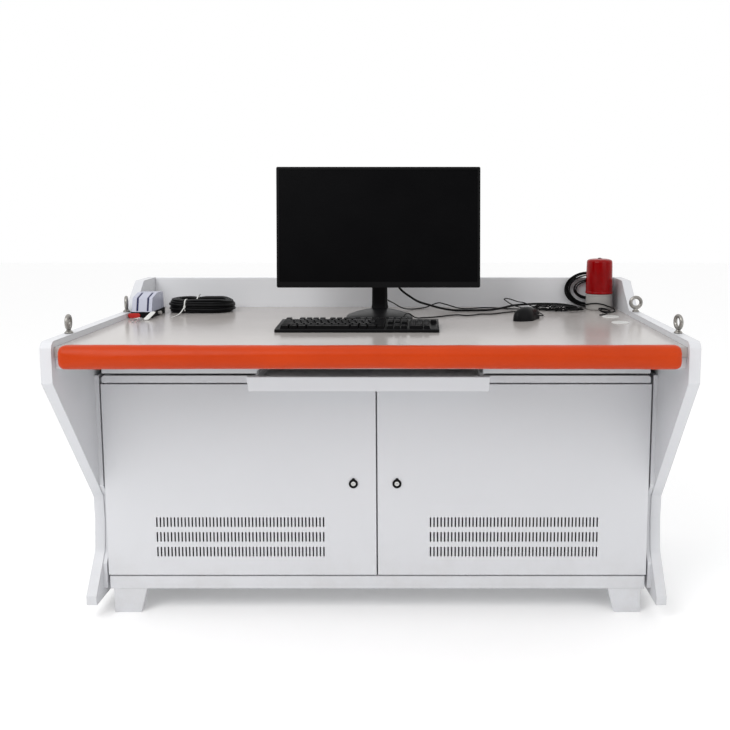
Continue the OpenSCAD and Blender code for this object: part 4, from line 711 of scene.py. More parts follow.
# makes a finished piece ride on its body in place of its nodes
def settle(piece, body, finishName, replaced=()):
    paint(piece, finishName)
    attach(piece, body)
    if replaced:
        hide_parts(*replaced)


# ties each label of a tree's inputs to a value, by the socket's identifier
def setInputs(modifier, values):
    for item in modifier.node_group.interface.items_tree:
        if item.item_type == "SOCKET" and item.in_out == "INPUT" and item.name in values:
            modifier[item.identifier] = values[item.name]


def treeWith(name, inputs):
    tree = bpy.data.node_groups.new(name, "GeometryNodeTree")
    tree.is_modifier = True
    kinds = {"float": "NodeSocketFloat", "int": "NodeSocketInt", "object": "NodeSocketObject",
        "finish": "NodeSocketMaterial"}
    tree.interface.new_socket(name="Geometry", in_out="INPUT", socket_type="NodeSocketGeometry")
    for label, kind in inputs:
        tree.interface.new_socket(name=label, in_out="INPUT", socket_type=kinds[kind])
    tree.interface.new_socket(name="Geometry", in_out="OUTPUT", socket_type="NodeSocketGeometry")
    return tree, tree.nodes.new("NodeGroupInput"), tree.nodes.new("NodeGroupOutput")


def lastNodes(tree, entry, leave, geometry):
    realized = newNode(tree, "GeometryNodeRealizeInstances", Geometry=geometry).outputs["Geometry"]
    finished = newNode(tree, "GeometryNodeSetMaterial", Geometry=realized, Material=entry.outputs["Finish"])
    feed(tree, leave, {"Geometry": finished.outputs["Geometry"]})
    return tree


# a vector that the points carry under a name
def carried(tree, name):
    return newNode(tree, "GeometryNodeInputNamedAttribute", {"data_type": "FLOAT_VECTOR"},
        Name=name).outputs["Attribute"]


def rotationOf(tree, angles):
    return newNode(tree, "FunctionNodeEulerToRotation", None, {0: angles}).outputs[0]


def vectorOf(tree, *parts):
    given = {index: part for index, part in enumerate(parts) if part is not None}
    return newNode(tree, "ShaderNodeCombineXYZ", None, given).outputs[0]


# sets the instance on each point and ends the tree
def setOnPoints(tree, entry, leave, instance, rotation, **size):
    place = newNode(tree, "GeometryNodeInstanceOnPoints", Points=entry.outputs["Geometry"], Instance=instance,
        Rotation=rotation, **size)
    return lastNodes(tree, entry, leave, place.outputs["Instances"])


# slotted screws: a domed head on each point, its slot turned at random
def screwTree():
    tree, entry, leave = treeWith("slottedScrews", [("Head width", "float"), ("Head height", "float"),
        ("Slot width", "float"), ("Seed", "int"), ("Finish", "finish")])
    width, height = entry.outputs["Head width"], entry.outputs["Head height"]
    radius = timesOf(tree, width, 0.5)
    head = newNode(tree, "GeometryNodeMeshCone", {"fill_type": "NGON"}, Vertices=20, Side_Segments=1,
        Radius_Top=timesOf(tree, radius, 0.72), Radius_Bottom=radius, Depth=height)
    slotSize = vectorOf(tree, timesOf(tree, width, 1.4), entry.outputs["Slot width"], height)
    slot = newNode(tree, "GeometryNodeMeshCube", Size=slotSize)
    raised = newNode(tree, "GeometryNodeTransform", Geometry=slot.outputs["Mesh"],
        Translation=vectorOf(tree, None, None, timesOf(tree, height, 0.95)))
    cut = newNode(tree, "GeometryNodeMeshBoolean", {"operation": "DIFFERENCE"}, Mesh_1=head.outputs["Mesh"],
        Mesh_2=raised.outputs["Geometry"])
    spin = newNode(tree, "FunctionNodeRandomValue", {"data_type": "FLOAT"}, {3: 3.14159},
        Seed=entry.outputs["Seed"])
    spun = rotationOf(tree, vectorOf(tree, None, None, spin.outputs[1]))
    both = newNode(tree, "FunctionNodeRotateRotation", {"rotation_space": "LOCAL"},
        {0: rotationOf(tree, carried(tree, "turn")), 1: spun})
    return setOnPoints(tree, entry, leave, cut.outputs["Mesh"], both.outputs[0])


# rounded bars, one on each point, lying along the point's own X
def barTree():
    tree, entry, leave = treeWith("roundedBars", [("Length", "float"), ("Width", "float"), ("Height", "float"),
        ("Rounding", "float"), ("Finish", "finish")])
    ends = {end: vectorOf(tree, timesOf(tree, entry.outputs["Length"], half))
        for end, half in (("Start", -0.5), ("End", 0.5))}
    line = newNode(tree, "GeometryNodeCurvePrimitiveLine", **ends)
    section = newNode(tree, "GeometryNodeCurvePrimitiveQuadrilateral", Width=entry.outputs["Width"],
        Height=entry.outputs["Height"])
    rounded = newNode(tree, "GeometryNodeFilletCurve", {"mode": "POLY"}, Curve=section.outputs["Curve"],
        Radius=entry.outputs["Rounding"], Count=2)
    bar = newNode(tree, "GeometryNodeCurveToMesh", Curve=line.outputs["Curve"],
        Profile_Curve=rounded.outputs["Curve"], Fill_Caps=True)
    return setOnPoints(tree, entry, leave, bar.outputs["Mesh"], rotationOf(tree, carried(tree, "turn")))


# a ready-made part on each point
def partTree():
    tree, entry, leave = treeWith("setParts", [("Part", "object"), ("Part size", "float"), ("Finish", "finish")])
    info = newNode(tree, "GeometryNodeObjectInfo", {"transform_space": "ORIGINAL"}, Object=entry.outputs["Part"])
    return setOnPoints(tree, entry, leave, info.outputs["Geometry"], rotationOf(tree, carried(tree, "turn")),
        Scale=entry.outputs["Part size"])


# keycaps: each face of the plan rises to a slanting cap with a dished top
def keycapTree():
    tree, entry, leave = treeWith("keycaps", [("Skirt", "float"), ("Cap height", "float"), ("Slant", "float"),
        ("Rim", "float"), ("Dish", "float"), ("Finish", "finish")])

    def vectorMath(operation, *parts, **named):
        return newNode(tree, "ShaderNodeVectorMath", {"operation": operation}, dict(enumerate(parts)),
            **named).outputs[0]

    away = vectorMath("SUBTRACT", carried(tree, "middle"), newNode(tree, "GeometryNodeInputPosition").outputs[0])
    flat = vectorMath("MULTIPLY", vectorMath("SIGN", away), (1, 1, 0))

    def rise(geometry, socket, way=1):
        node = newNode(tree, "GeometryNodeExtrudeMesh", {"mode": "FACES"}, Individual=True, Mesh=geometry,
            Offset_Scale=timesOf(tree, entry.outputs[socket], way))
        if top:
            feed(tree, node, {"Selection": top[-1]})
        top.append(node.outputs["Top"])
        return node.outputs["Mesh"]

    def narrow(geometry, socket):
        inwards = vectorMath("SCALE", flat, Scale=entry.outputs[socket])
        return newNode(tree, "GeometryNodeSetPosition", Geometry=geometry, Selection=top[-1],
            Offset=inwards).outputs["Geometry"]

    top = []
    body = rise(entry.outputs["Geometry"], "Skirt")
    body = narrow(rise(body, "Cap height"), "Slant")
    body = narrow(rise(body, "Dish", way=-1), "Rim")
    under = newNode(tree, "GeometryNodeFlipFaces", Mesh=entry.outputs["Geometry"])
    whole = newNode(tree, "GeometryNodeJoinGeometry")
    for part in (body, under.outputs["Mesh"]):
        tree.links.new(part, whole.inputs[0])
    welded = newNode(tree, "GeometryNodeMergeByDistance", Geometry=whole.outputs[0], Distance=0.00001)
    return lastNodes(tree, entry, leave, welded.outputs["Geometry"])


trees = {"screws": screwTree(), "bars": barTree(), "parts": partTree(), "keycaps": keycapTree()}


# runs a tree on a mesh and leaves its result as a plain piece
def grown(name, data, treeName, values, sharp=35):
    seedPiece = addObject(name + "Seed", data)
    modifier = seedPiece.modifiers.new(treeName, "NODES")
    modifier.node_group = trees[treeName]
    setInputs(modifier, values)
    made = madeMesh(seedPiece)
    made.name = name
    seedPiece.modifiers.remove(modifier)
    bpy.data.objects.remove(seedPiece)
    for attribute in [a.name for a in made.attributes if a.name in ("turn", "middle")]:
        made.attributes.remove(made.attributes[attribute])
    smoothShade(made, sharp)
    return addObject(name, made)


# points for the trees above, with a turn for each or one for all
def pointsWith(places, turns):
    if isinstance(turns, tuple):
        turns = [turns] * len(places)
    data = bpy.data.meshes.new("places")
    data.from_pydata([tuple(p) for p in places], [], [])
    layer = data.attributes.new("turn", "FLOAT_VECTOR", "POINT")
    for k, turn in enumerate(turns):
        layer.data[k].vector = turn
    return data


# a grown piece that rides on its body in its finish
def growOn(body, finishName, name, data, treeName, values, replaced=(), sharp=35):
    made = grown(name, data, treeName, {**values, "Finish": materials[finishName]}, sharp)
    settle(made, body, finishName, replaced)


# the armrest: a padded bar, pinned along its back, blown up a little as its foam fills it
armrest = {"halfLong": 750, "back": 11.7, "front": -30, "low": 750, "top": 812, "shrink": 1.8, "endRound": 15,
    "stations": 230, "around": 40, "pressure": 4.0, "cap": 0.0028, "frames": 20,
    # radii of its section's corners, and where the rings lie at its rounded ends
    "corners": [22, 16, 4, 3], "endRings": [0, 1.2, 3.2, 6, 9.5, 14], "endShare": 0.8}


def armrestPiece(s):
    low, high = s["low"] + s["shrink"] * 0.4, s["top"] - s["shrink"]
    front, back = s["front"] + s["shrink"], s["back"]
    outline = roundedOutline([(front, high), (front, low), (back, low), (back, high - 3)],
        s["corners"], 8)
    profile = evenOutline(outline, s["around"])
    middle = Vector(((front + back) / 2, (low + high) / 2))
    half = Vector(((back - front) / 2, (high - low) / 2))
    stations = [(-s["halfLong"] + 1 + e, e) for e in s["endRings"]]
    inner = s["halfLong"] - 15
    stations += [(-inner + 2 * inner * k / s["stations"], 99) for k in range(1, s["stations"])]
    stations += [(s["halfLong"] - 1 - e, e) for e in s["endRings"][::-1]]
    rings = []
    for x, e in stations:
        r = s["endRound"]
        inset = r - math.sqrt(max(0, r * r - (r - e) ** 2)) if e < r else 0
        inset *= s["endShare"]
        scale = Vector((1 - inset / half.x, 1 - inset / half.y))
        rings.append([desk(x, middle.x + (p.x - middle.x) * scale.x,
            middle.y + (p.y - middle.y) * scale.y) for p in profile])
    shape = bmesh.new()
    made = [[shape.verts.new(p) for p in ring] for ring in rings]
    for one, two in zip(made, made[1:]):
        addBand(shape, one, two)
    for ring in (made[0], made[-1]):                              # the ends close in rings towards their middle
        centre = sum((v.co for v in ring), Vector()) / len(ring)
        outer = ring
        for share in (0.72, 0.42):
            innerRing = [shape.verts.new(centre.lerp(v.co, share)) for v in ring]
            addBand(shape, outer, innerRing)
            outer = innerRing
        tip = shape.verts.new(centre)
        for k in range(len(outer)):
            shape.faces.new((outer[k], outer[(k + 1) % len(outer)], tip))
    return bmeshPiece("armrestPad", shape, 180)


def fillPad(piece, s):
    before = [v.co.copy() for v in piece.data.vertices]
    held = piece.vertex_groups.new(name="held")
    backLine = s["back"] / 1000 - deskFront - 0.0012
    held.add([v.index for v in piece.data.vertices if v.co.y > backLine], 1.0, "REPLACE")
    cloth = piece.modifiers.new("fill", "CLOTH")
    cloth.settings.use_pressure = True
    cloth.settings.uniform_pressure_force = s["pressure"]
    cloth.settings.effector_weights.gravity = 0
    cloth.settings.vertex_group_mass = "held"
    cloth.settings.quality = 5
    cloth.point_cache.frame_start = 1
    cloth.point_cache.frame_end = s["frames"]
    for number in range(1, s["frames"] + 1):
        bpy.context.scene.frame_set(number)
    filled = madeMesh(piece)
    after = [v.co.copy() for v in filled.vertices]
    piece.modifiers.remove(cloth)
    piece.vertex_groups.remove(held)
    bpy.context.scene.frame_set(1)
    moved = 0.0
    for vertex, old, new in zip(piece.data.vertices, before, after):
        step = new - old
        if step.length > s["cap"]:
            step *= s["cap"] / step.length
        moved = max(moved, step.length)
        vertex.co = old + step
    bpy.data.meshes.remove(filled)
    print("armrest filled, moved up to", round(moved * 1000, 2), "mm")


# small unevenness of the foam, and pleats that run out from the sewn ends
def creasePad(piece, s):
    middle = Vector((0, (s["front"] + s["back"]) / 2000 - deskFront, (s["low"] + s["top"]) / 2000))
    for vertex in piece.data.vertices:
        p = vertex.co
        out = Vector((0, p.y - middle.y, p.z - middle.z))
        if out.length < 0.004 or p.y > s["back"] / 1000 - deskFront - 0.002:
            continue
        fromEnd = s["halfLong"] / 1000 - abs(p.x)
        angle = math.atan2(out.z, out.y)
        pleats = 0.00055 * math.sin(angle * 17 + p.x * 40) * math.exp(-max(0, fromEnd - 0.012) / 0.014)
        uneven = 0.0006 * noise.noise(Vector((p.x * 9, p.y * 22, p.z * 22)))
        uneven += 0.00025 * noise.noise(Vector((p.x * 45, p.y * 70, p.z * 70)))
        vertex.co = p + out.normalized() * (pleats * (1 if fromEnd > 0.004 else 0.3) + uneven)


pad = armrestPiece(armrest)
fillPad(pad, armrest)
creasePad(pad, armrest)
smoother = pad.modifiers.new("smoother", "SUBSURF")
smoother.levels = smoother.render_levels = 1
settle(pad, "desk", "armrestLeather", ["armrest"])
print("armrest made")

# lifting eyes: forged rings that run into their collars
liftingEye = {"ring": 41.5, "bar": 10, "neck": 8.5, "collar": 22, "collarHeight": 4, "foot": 815,
    "places": [(-786, 142, 6), (-786, 577, 15), (786, 142, 12), (786, 577, 88)]}


def forgedEye(s):
    shape = bmesh.new()
    middle = s["neck"] + s["ring"] / 2
    large, small = (s["ring"] - s["bar"]) / 2, s["bar"] / 2
    rings = []
    for a in aroundTurn(56):
        thick = small * (1.06 + 0.10 * max(0, -math.sin(a)) ** 2)
        ring = []
        for b in aroundTurn(20):
            r = large + thick * math.cos(b)
            ring.append(Vector((thick * 0.96 * math.sin(b), r * math.cos(a), middle + r * math.sin(a))) / 1000)
        rings.append(ring)
    addRings(shape, rings, loop=True)
    half = s["collar"] / 2
    addSpun(shape, [(0, 0.2), (half - 0.6, 0.2), (half, 0.8), (half, s["collarHeight"] - 1),
        (half - 1.2, s["collarHeight"]), (7.6, s["collarHeight"] + 2), (5.9, s["neck"] - 1), (5.4, s["neck"] + 2),
        (4.6, s["neck"] + 5), (0, s["neck"] + 6)], (0, 0, 0), segments=40)
    draft = bmeshPiece("eyeDraft", shape, 180)
    blendNode = draft.modifiers.new("blend", "REMESH")
    blendNode.mode = "VOXEL"
    blendNode.voxel_size = 0.0008
    blendNode.use_smooth_shade = True
    relax = draft.modifiers.new("relax", "SMOOTH")
    relax.factor, relax.iterations = 0.5, 7
    made = madeMesh(draft)
    bpy.data.objects.remove(draft)
    return addObject("forgedEye", made)


eyePart = forgedEye(liftingEye)
growOn("desk", "forgedSteel", "liftingEyes",
    pointsWith([desk(x, y, liftingEye["foot"]) for x, y, turn in liftingEye["places"]],
        [(0, 0, math.radians(turn)) for x, y, turn in liftingEye["places"]]),
    "parts", {"Part": eyePart, "Part size": 1.0}, ["lifting_eyes"], 180)
bpy.data.objects.remove(eyePart)

# the beacon: foot with its seal, dome with flange, inner rim, ribs and a nub on top
beacon = {"middle": (709, 757, worktopTop), "footHeight": 54, "ribs": 40, "ribFrom": 38.6, "ribMiddle": 47}


def onBeacon(x, y, z):
    return desk(beacon["middle"][0] + x, beacon["middle"][1] + y, beacon["middle"][2] + z)


beaconBase = bmesh.new()
addSpun(beaconBase, [(0, 0), (37, 0), (38.6, 0.6), (40.2, 2.4), (41.4, 6), (42, 11), (42, 44), (41.3, 44.6),
    (41.3, 46.2), (42, 46.8), (42, 51.4), (41.6, 53), (40.2, 54), (38, 54.2), (38, 59), (4, 59), (4, 68),
    (3.2, 68.6), (0, 68.6)], desk(*beacon["middle"]), segments=72)
settle(bmeshPiece("beaconBase", beaconBase, 40), "desk", "beaconGrey", ["beacon_foot"])
domeFoot = beacon["footHeight"] + 0.4
dome = bmesh.new()
outer = [(domeFoot + h, r) for h, r in ((0, 39.6), (0, 43.9), (0.7, 44.5), (5.6, 44.5), (6.4, 44.1), (7.2, 43.3),
    (40, 42.7), (80, 42.0), (100, 41.5), (103, 41.3), (106, 40.5), (108.2, 39.2), (110.2, 36.6), (111.8, 32),
    (113.3, 24), (114.2, 14), (114.6, 0))]
inner = [(domeFoot + h, r) for h, r in ((111.9, 0), (111.5, 14), (110.6, 24), (109.2, 31), (107.4, 34.6),
    (105.8, 36.7), (103.4, 38.2), (100, 38.9), (92, 39.1), (91.4, 36.2), (89.6, 36.2), (89, 39.3), (40, 40.2),
    (4, 40.8), (3, 40.4))]
addSpun(dome, [(r, h) for h, r in outer], desk(*beacon["middle"]), segments=96)
addSpun(dome, [(r, h) for h, r in inner + [(domeFoot, 39.6)]], desk(*beacon["middle"]), segments=96)
bmesh.ops.remove_doubles(dome, verts=dome.verts, dist=0.00001)
settle(bmeshPiece("beaconDome", dome, 30), "desk", "clearRed", ["beacon_dome"])
ribTurns, ribPlaces = [], []
for k in range(beacon["ribs"]):
    angle = 2 * math.pi * (k + 0.5) / beacon["ribs"]
    ribPlaces.append(onBeacon(math.cos(angle) * beacon["ribFrom"], math.sin(angle) * beacon["ribFrom"],
        domeFoot + beacon["ribMiddle"]))
    ribTurns.append((Matrix.Rotation(angle, 3, "Z") @ Matrix.Rotation(math.radians(90), 3, "Y")).to_euler())
growOn("desk", "clearRed", "beaconDomeRibs", pointsWith(ribPlaces, ribTurns), "bars",
    {"Length": 0.078, "Width": 0.0016, "Height": 0.0022, "Rounding": 0.0005})
nub = bmesh.new()
addSpun(nub, [(0, -1.5), (6.2, -1.5), (6.2, 0.4), (5.4, 1.4), (3, 1.9), (2.8, 1.2), (0, 1.2)],
    onBeacon(0, 0, domeFoot + 114.4), segments=32)
settle(bmeshPiece("beaconNub", nub), "desk", "blackPlastic")
print("beacon made")

# the screen's stand: a domed foot that runs up into a flat column, with the hinge barrel on top
screenStand = {"x": -4, "y": 534, "tiltY": 574, "tiltZ": 1071.5, "dome": (204, 172), "height": 29, "column": (47, 24)}


def standPiece(s):
    shape = bmesh.new()
    levels = [(0.0, 0.985, 0), (0.02, 1.0, 0), (0.10, 1.0, 0), (0.19, 0.992, 0), (0.27, 0.975, 0),
        (0.38, 0.945, 0.5), (0.48, 0.895, 1.2), (0.58, 0.815, 2.4), (0.67, 0.73, 4.5), (0.77, 0.62, 8),
        (0.85, 0.51, 12), (0.92, 0.40, 16), (0.97, 0.29, 21), (1.0, 0.19, 26)]
    rings = []
    for height, share, shift in levels:
        rings.append([desk(s["x"] + s["dome"][0] / 2 * share * math.cos(a),
            s["y"] + shift + s["dome"][1] / 2 * share * math.sin(a),
            worktopTop + s["height"] * height) for a in aroundTurn(72)])
    addRings(shape, rings)
    wide, deep = s["column"]
    rings = []
    for z, grow in ((808, 6), (816, 5), (821, 4), (826, 3), (832, 1.8), (840, 0.7), (852, 0.1), (880, 0), (1040, 0),
            (1054, 0), (1057, -1.2), (1058, -3)):
        outline = roundedOutline([(-wide / 2 - grow, -deep / 2 - grow * 0.8),
            (wide / 2 + grow, -deep / 2 - grow * 0.8), (wide / 2 + grow, deep / 2 + grow * 0.5),
            (-wide / 2 - grow, deep / 2 + grow * 0.5)],
            [9 + max(0, grow) * 0.6, 9 + max(0, grow) * 0.6, 5 + max(0, grow) * 0.4, 5 + max(0, grow) * 0.4], 6)
        rings.append([desk(s["x"] + x, s["tiltY"] + y, z) for x, y in outline])
    addRings(shape, rings)
    addSpun(shape, [(0, -26.6), (10.4, -26.6), (11, -26), (11, 26), (10.4, 26.6), (0, 26.6)],
        desk(s["x"], s["tiltY"], s["tiltZ"]), (1, 0, 0), 48)
    addSpun(shape, [(0, -34), (4.4, -34), (5, -33.4), (5, 33.4), (4.4, 34), (0, 34)],
        desk(s["x"], s["tiltY"], s["tiltZ"]), (1, 0, 0), 32)
    addBlock(shape, (s["x"] - 20.5, s["tiltY"] - 8, s["tiltZ"] - 20),
        (s["x"] + 20.5, s["tiltY"] + 8, s["tiltZ"] - 5), 1.5)
    return bmeshPiece("screenStand", shape, 40)


settle(standPiece(screenStand), "desk", "blackGloss", ["screen_stand"])


# vents and screws on the screen's back
screenBack = {"lean": 5, "vents": 36, "pitch": 8.2, "ventY": 556.3, "ventRows": (1148, 1000), "screwY": 544.2,
    "screwColumns": (-195, 195), "screwRows": (962, 1181)}


# desk place of a point in the screen's own frame: its lean is about the hinge pin
def onScreen(x, y, z):
    lean = math.radians(screenBack["lean"])
    y, z = y - screenStand["tiltY"], z - screenStand["tiltZ"]
    return desk(screenStand["x"] + x, screenStand["tiltY"] + y * math.cos(lean) + z * math.sin(lean),
        screenStand["tiltZ"] - y * math.sin(lean) + z * math.cos(lean))


ventPlaces = [onScreen((k - (screenBack["vents"] - 1) / 2) * screenBack["pitch"], screenBack["ventY"], z)
    for k in range(screenBack["vents"]) for z in screenBack["ventRows"]]
growOn("screen", "blackPlastic", "screenVents", pointsWith(ventPlaces, (0, math.radians(90), 0)),
    "bars", {"Length": 0.024, "Width": 0.0030, "Height": 0.0016, "Rounding": 0.0006})
screwPlaces = [onScreen(x, screenBack["screwY"], z)
    for x in screenBack["screwColumns"] for z in screenBack["screwRows"]]
growOn("screen", "zincSteel", "screenScrews", pointsWith(screwPlaces, (math.radians(-95), 0, 0)), "screws",
    {"Head width": 0.008, "Head height": 0.002, "Slot width": 0.0011, "Seed": 3})
print("screen dressed")

# the mouse: the same curves as its solids, drawn finely
mouse = {"middle": (440, 505, worktopTop), "turn": -47, "long": 104, "wide": 60, "high": 40, "split": 0.58,
    "wheelAt": 0.8, "wheel": 24, "wheelWidth": 7, "buttonThick": 2, "ribs": 30}


def onMouse(x, y, z):
    return turnedPlace(mouse["middle"], mouse["turn"], x, y, z)


def mouseHalf(t):
    waist = 0.78 + 0.22 * math.cos(2 * math.pi * (t - 0.35))
    return mouse["wide"] / 2 * waist * math.sin(math.pi * (0.06 + 0.88 * t)) ** 0.42


def mouseTop(t):
    return mouse["high"] * (0.36 + 0.64 * math.sin(math.pi * (0.08 + 0.8 * t ** 0.85)) ** 0.75)


wheelY = (mouse["wheelAt"] - 0.5) * mouse["long"]
wheelZ = mouseTop(mouse["wheelAt"]) - mouse["wheel"] / 2 + 2


def mouseRing(t, share, shrink=1.0):
    w, h = mouseHalf(t) * shrink, (mouseTop(t) * share - 0.6) * shrink
    ring = []
    for k in range(31):
        a = math.pi * k / 30
        ring.append(onMouse(w * math.cos(a) * (1 - 0.1 * math.sin(a)), (t - 0.5) * mouse["long"],
            0.6 + h * max(0, math.sin(a)) ** 0.7))
    return ring + [onMouse(0, (t - 0.5) * mouse["long"], 0.6)]


def mouseBodyPiece():
    shape = bmesh.new()
    split = mouse["split"]
    rear = [(0.0, 0.42), (0.003, 0.56), (0.009, 0.68), (0.018, 0.79), (0.032, 0.88), (0.052, 0.95), (0.078, 0.99)]
    rear += [(0.10 + (split - 0.10) * k / 16, 1.0) for k in range(17)]
    addRings(shape, [mouseRing(t, 1, shrink) for t, shrink in rear])
    front = [(split + (1 - split) * k / 14, 1.0) for k in range(14)] + [(0.985, 0.97), (0.995, 0.92), (1.0, 0.84)]
    addRings(shape, [mouseRing(t, 0.7 - 0.45 * (t - split), shrink) for t, shrink in front])
    body = bmeshPiece("mouseBody", shape, 50)
    reach = mouse["wheel"] / 2 + 1
    well = bmesh.new()                                            # the wheel's well
    corners = ((-4.5, -reach), (4.5, -reach), (4.5, reach), (-4.5, reach))
    addRings(well, [[onMouse(x, wheelY + y, z) for x, y in corners] for z in (wheelZ - reach, wheelZ + 30)])
    cutter = bmeshPiece("wheelWell", well)
    cut = body.modifiers.new("well", "BOOLEAN")
    cut.operation, cut.solver, cut.object = "DIFFERENCE", "EXACT", cutter
    made = madeMesh(body)
    for spent in (body, cutter):
        bpy.data.objects.remove(spent)
    whole = bmesh.new()
    whole.from_mesh(made)
    for side in (-1, 1):                                          # bearings of the wheel's axle
        low, high = sorted((side * 4.55, side * 5.6))
        corners = ((low, -2.3), (high, -2.3), (high, 2.3), (low, 2.3))
        addRings(whole, [[onMouse(x, wheelY + y, z) for x, y in corners] for z in (8, wheelZ + 1.9)])
    return bmeshPiece("mouseBody", whole, 50)


def buttonPiece(name, side):
    reach = mouse["wheel"] / 2 + 2
    wheelFrom, wheelTo = mouse["wheelAt"] - reach / mouse["long"], mouse["wheelAt"] + reach / mouse["long"]
    shares = [0.592, 0.60, 0.62, 0.64, 0.655, wheelFrom - 0.006, wheelFrom + 0.006, 0.70, 0.74, 0.78, 0.80, 0.83,
        0.86, 0.90, wheelTo - 0.006, wheelTo + 0.006, 0.955, 0.965, 0.975, 0.982, 0.985]
    rings = []
    for t in shares:
        edge = mouse["wheelWidth"] / 2 + 1.2 if abs(t - mouse["wheelAt"]) * mouse["long"] < reach else 0.6
        w, h = mouseHalf(t), mouseTop(t)
        droop = 1.6 * max(0, (t - 0.95) / 0.035) ** 2
        start, end = math.radians(24), math.acos(min(1, edge / (0.9 * w)))
        angles = [start + (end - start) * k / 16 for k in range(17)]
        outerArc = [onMouse(side * w * math.cos(a) * (1 - 0.1 * math.sin(a)), (t - 0.5) * mouse["long"],
            0.6 + (h - 0.6) * math.sin(a) ** 0.7 - droop) for a in angles]
        cut = mouse["buttonThick"]
        innerArc = [onMouse(side * (w - cut) * math.cos(a) * (1 - 0.1 * math.sin(a)), (t - 0.5) * mouse["long"],
            0.6 + (h - 0.6) * math.sin(a) ** 0.7 - cut - droop * 0.4) for a in angles]
        rings.append(outerArc + innerArc[::-1])
    shape = bmesh.new()
    addRings(shape, rings)
    return bmeshPiece(name, shape, 45)


settle(mouseBodyPiece(), "desk", "blackPlastic", ["mouse_body"])
settle(buttonPiece("mouseLeftButton", -1), "mouse_left", "blackGloss", ["mouse_left_button"])
settle(buttonPiece("mouseRightButton", 1), "mouse_right", "blackGloss", ["mouse_right_button"])
wheelMiddle = onMouse(0, wheelY, wheelZ)
wheelAxis = onMouse(1, 0, 0) - onMouse(0, 0, 0)
wheelShape = bmesh.new()
addSpun(wheelShape, [(0, -4.9), (2.4, -4.9), (2.4, -3.5), (9.6, -3.5), (11.3, -2.6), (11.6, -1.4), (11.6, 1.4),
    (11.3, 2.6), (9.6, 3.5), (2.4, 3.5), (2.4, 4.9), (0, 4.9)], wheelMiddle, wheelAxis, 48)
settle(bmeshPiece("mouseWheel", wheelShape), "wheel", "cordRubber", ["mouse_wheel"])
ribPlaces, ribTurns = [], []
axisTurn = wheelAxis.to_track_quat("X", "Z").to_matrix()
for k in range(mouse["ribs"]):
    spin = axisTurn @ Matrix.Rotation(2 * math.pi * k / mouse["ribs"], 3, "X")
    ribPlaces.append(wheelMiddle + spin @ Vector((0, 0, 0.01155)))
    ribTurns.append(spin.to_euler())
growOn("wheel", "cordRubber", "mouseWheelRibs", pointsWith(ribPlaces, ribTurns), "bars",
    {"Length": 0.0052, "Width": 0.0009, "Height": 0.0008, "Rounding": 0.0002})
print("mouse made")

# the keyboard's caps, laid out in key pitches from each block's rows
keyboard = {"x": -51, "y": 248, "z": worktopTop, "wide": 447, "deep": 146, "front": 9, "back": 18, "pitch": 19.05,
    "gap": 2.0, "left": 13, "near": 12, "low": -0.7, "skirt": 1.9, "capHeight": 6.9, "slant": 1.7, "rim": 1.5,
    "dish": 0.45, "rowPlaces": [0, 1, 2, 3, 4, 5.3]}
deckTilt = math.atan((keyboard["back"] - keyboard["front"]) / keyboard["deep"])


def onDeck(x, y, z):
    k = keyboard
    return desk(k["x"] - k["wide"] / 2 + x, k["y"] + y * math.cos(deckTilt) - z * math.sin(deckTilt),
        k["z"] + k["front"] + y * math.sin(deckTilt) + z * math.cos(deckTilt))


navRow = [(15.25 + k, 1) for k in range(3)]
keyBlocks = [
    ("letterCaps", "letters", "letter_keys", [(0, [(0, 1.25), (1.25, 1.25), (2.5, 1.25), (10, 1.25), (11.25, 1.25),
        (12.5, 1.25), (13.75, 1.25)]),
        (1, [(0, 2.25)] + [(2.25 + k, 1) for k in range(10)] + [(12.25, 2.75)]),
        (2, [(0, 1.75)] + [(1.75 + k, 1) for k in range(11)] + [(12.75, 2.25)]),
        (3, [(0, 1.5)] + [(1.5 + k, 1) for k in range(12)] + [(13.5, 1.5)]),
        (4, [(k, 1) for k in range(13)] + [(13, 2)])],
        [(0, 15, 1, 5), (0, 3.73, 0, 1.02), (10.02, 15, 0, 1.02)]),
    ("functionCaps", "functions", "function_keys",
        [(5, [(0, 1)] + [(x + k, 1) for x in (2, 6.5, 11) for k in range(4)])], [(0, 15, 5.3, 6.3)]),
    ("navigationCaps", "navigation", "navigation_keys", [(0, navRow), (1, [(16.25, 1)]), (3, navRow), (4, navRow),
        (5, navRow)], [(15.25, 18.25, 0, 6.3)]),
    ("numberCaps", "numbers", "number_keys", [(0, [(18.5, 2), (20.5, 1)])]
        + [(r, [(18.5 + k, 1) for k in range(3)]) for r in (1, 2, 3)]
        + [(4, [(18.5 + k, 1) for k in range(4)])], [(18.5, 22.5, 0, 5)]),
    ("spaceCap", "space", "space_bar", [(0, [(3.76, 6.23)])], [(3.76, 9.99, 0, 0.97)]),
]


def keyPlan(name, rows):
    points, faces, middles = [], [], []
    for row, keysInRow in rows:
        for column, wide in keysInRow:
            x0 = keyboard["left"] + column * keyboard["pitch"] + keyboard["gap"] / 2
            x1 = x0 + wide * keyboard["pitch"] - keyboard["gap"]
            y0 = keyboard["near"] + keyboard["rowPlaces"][row] * keyboard["pitch"] + keyboard["gap"] / 2
            y1 = y0 + keyboard["pitch"] - keyboard["gap"]
            first = len(points)
            points += [onDeck(x, y, keyboard["low"]) for x, y in ((x0, y0), (x1, y0), (x1, y1), (x0, y1))]
            middles += [onDeck((x0 + x1) / 2, (y0 + y1) / 2 + 0.3, 4)] * 4
            faces.append((first, first + 1, first + 2, first + 3))
    data = bpy.data.meshes.new(name)
    data.from_pydata([tuple(p) for p in points], [], faces)
    layer = data.attributes.new("middle", "FLOAT_VECTOR", "POINT")
    for k, middle in enumerate(middles):
        layer.data[k].vector = middle
    return data


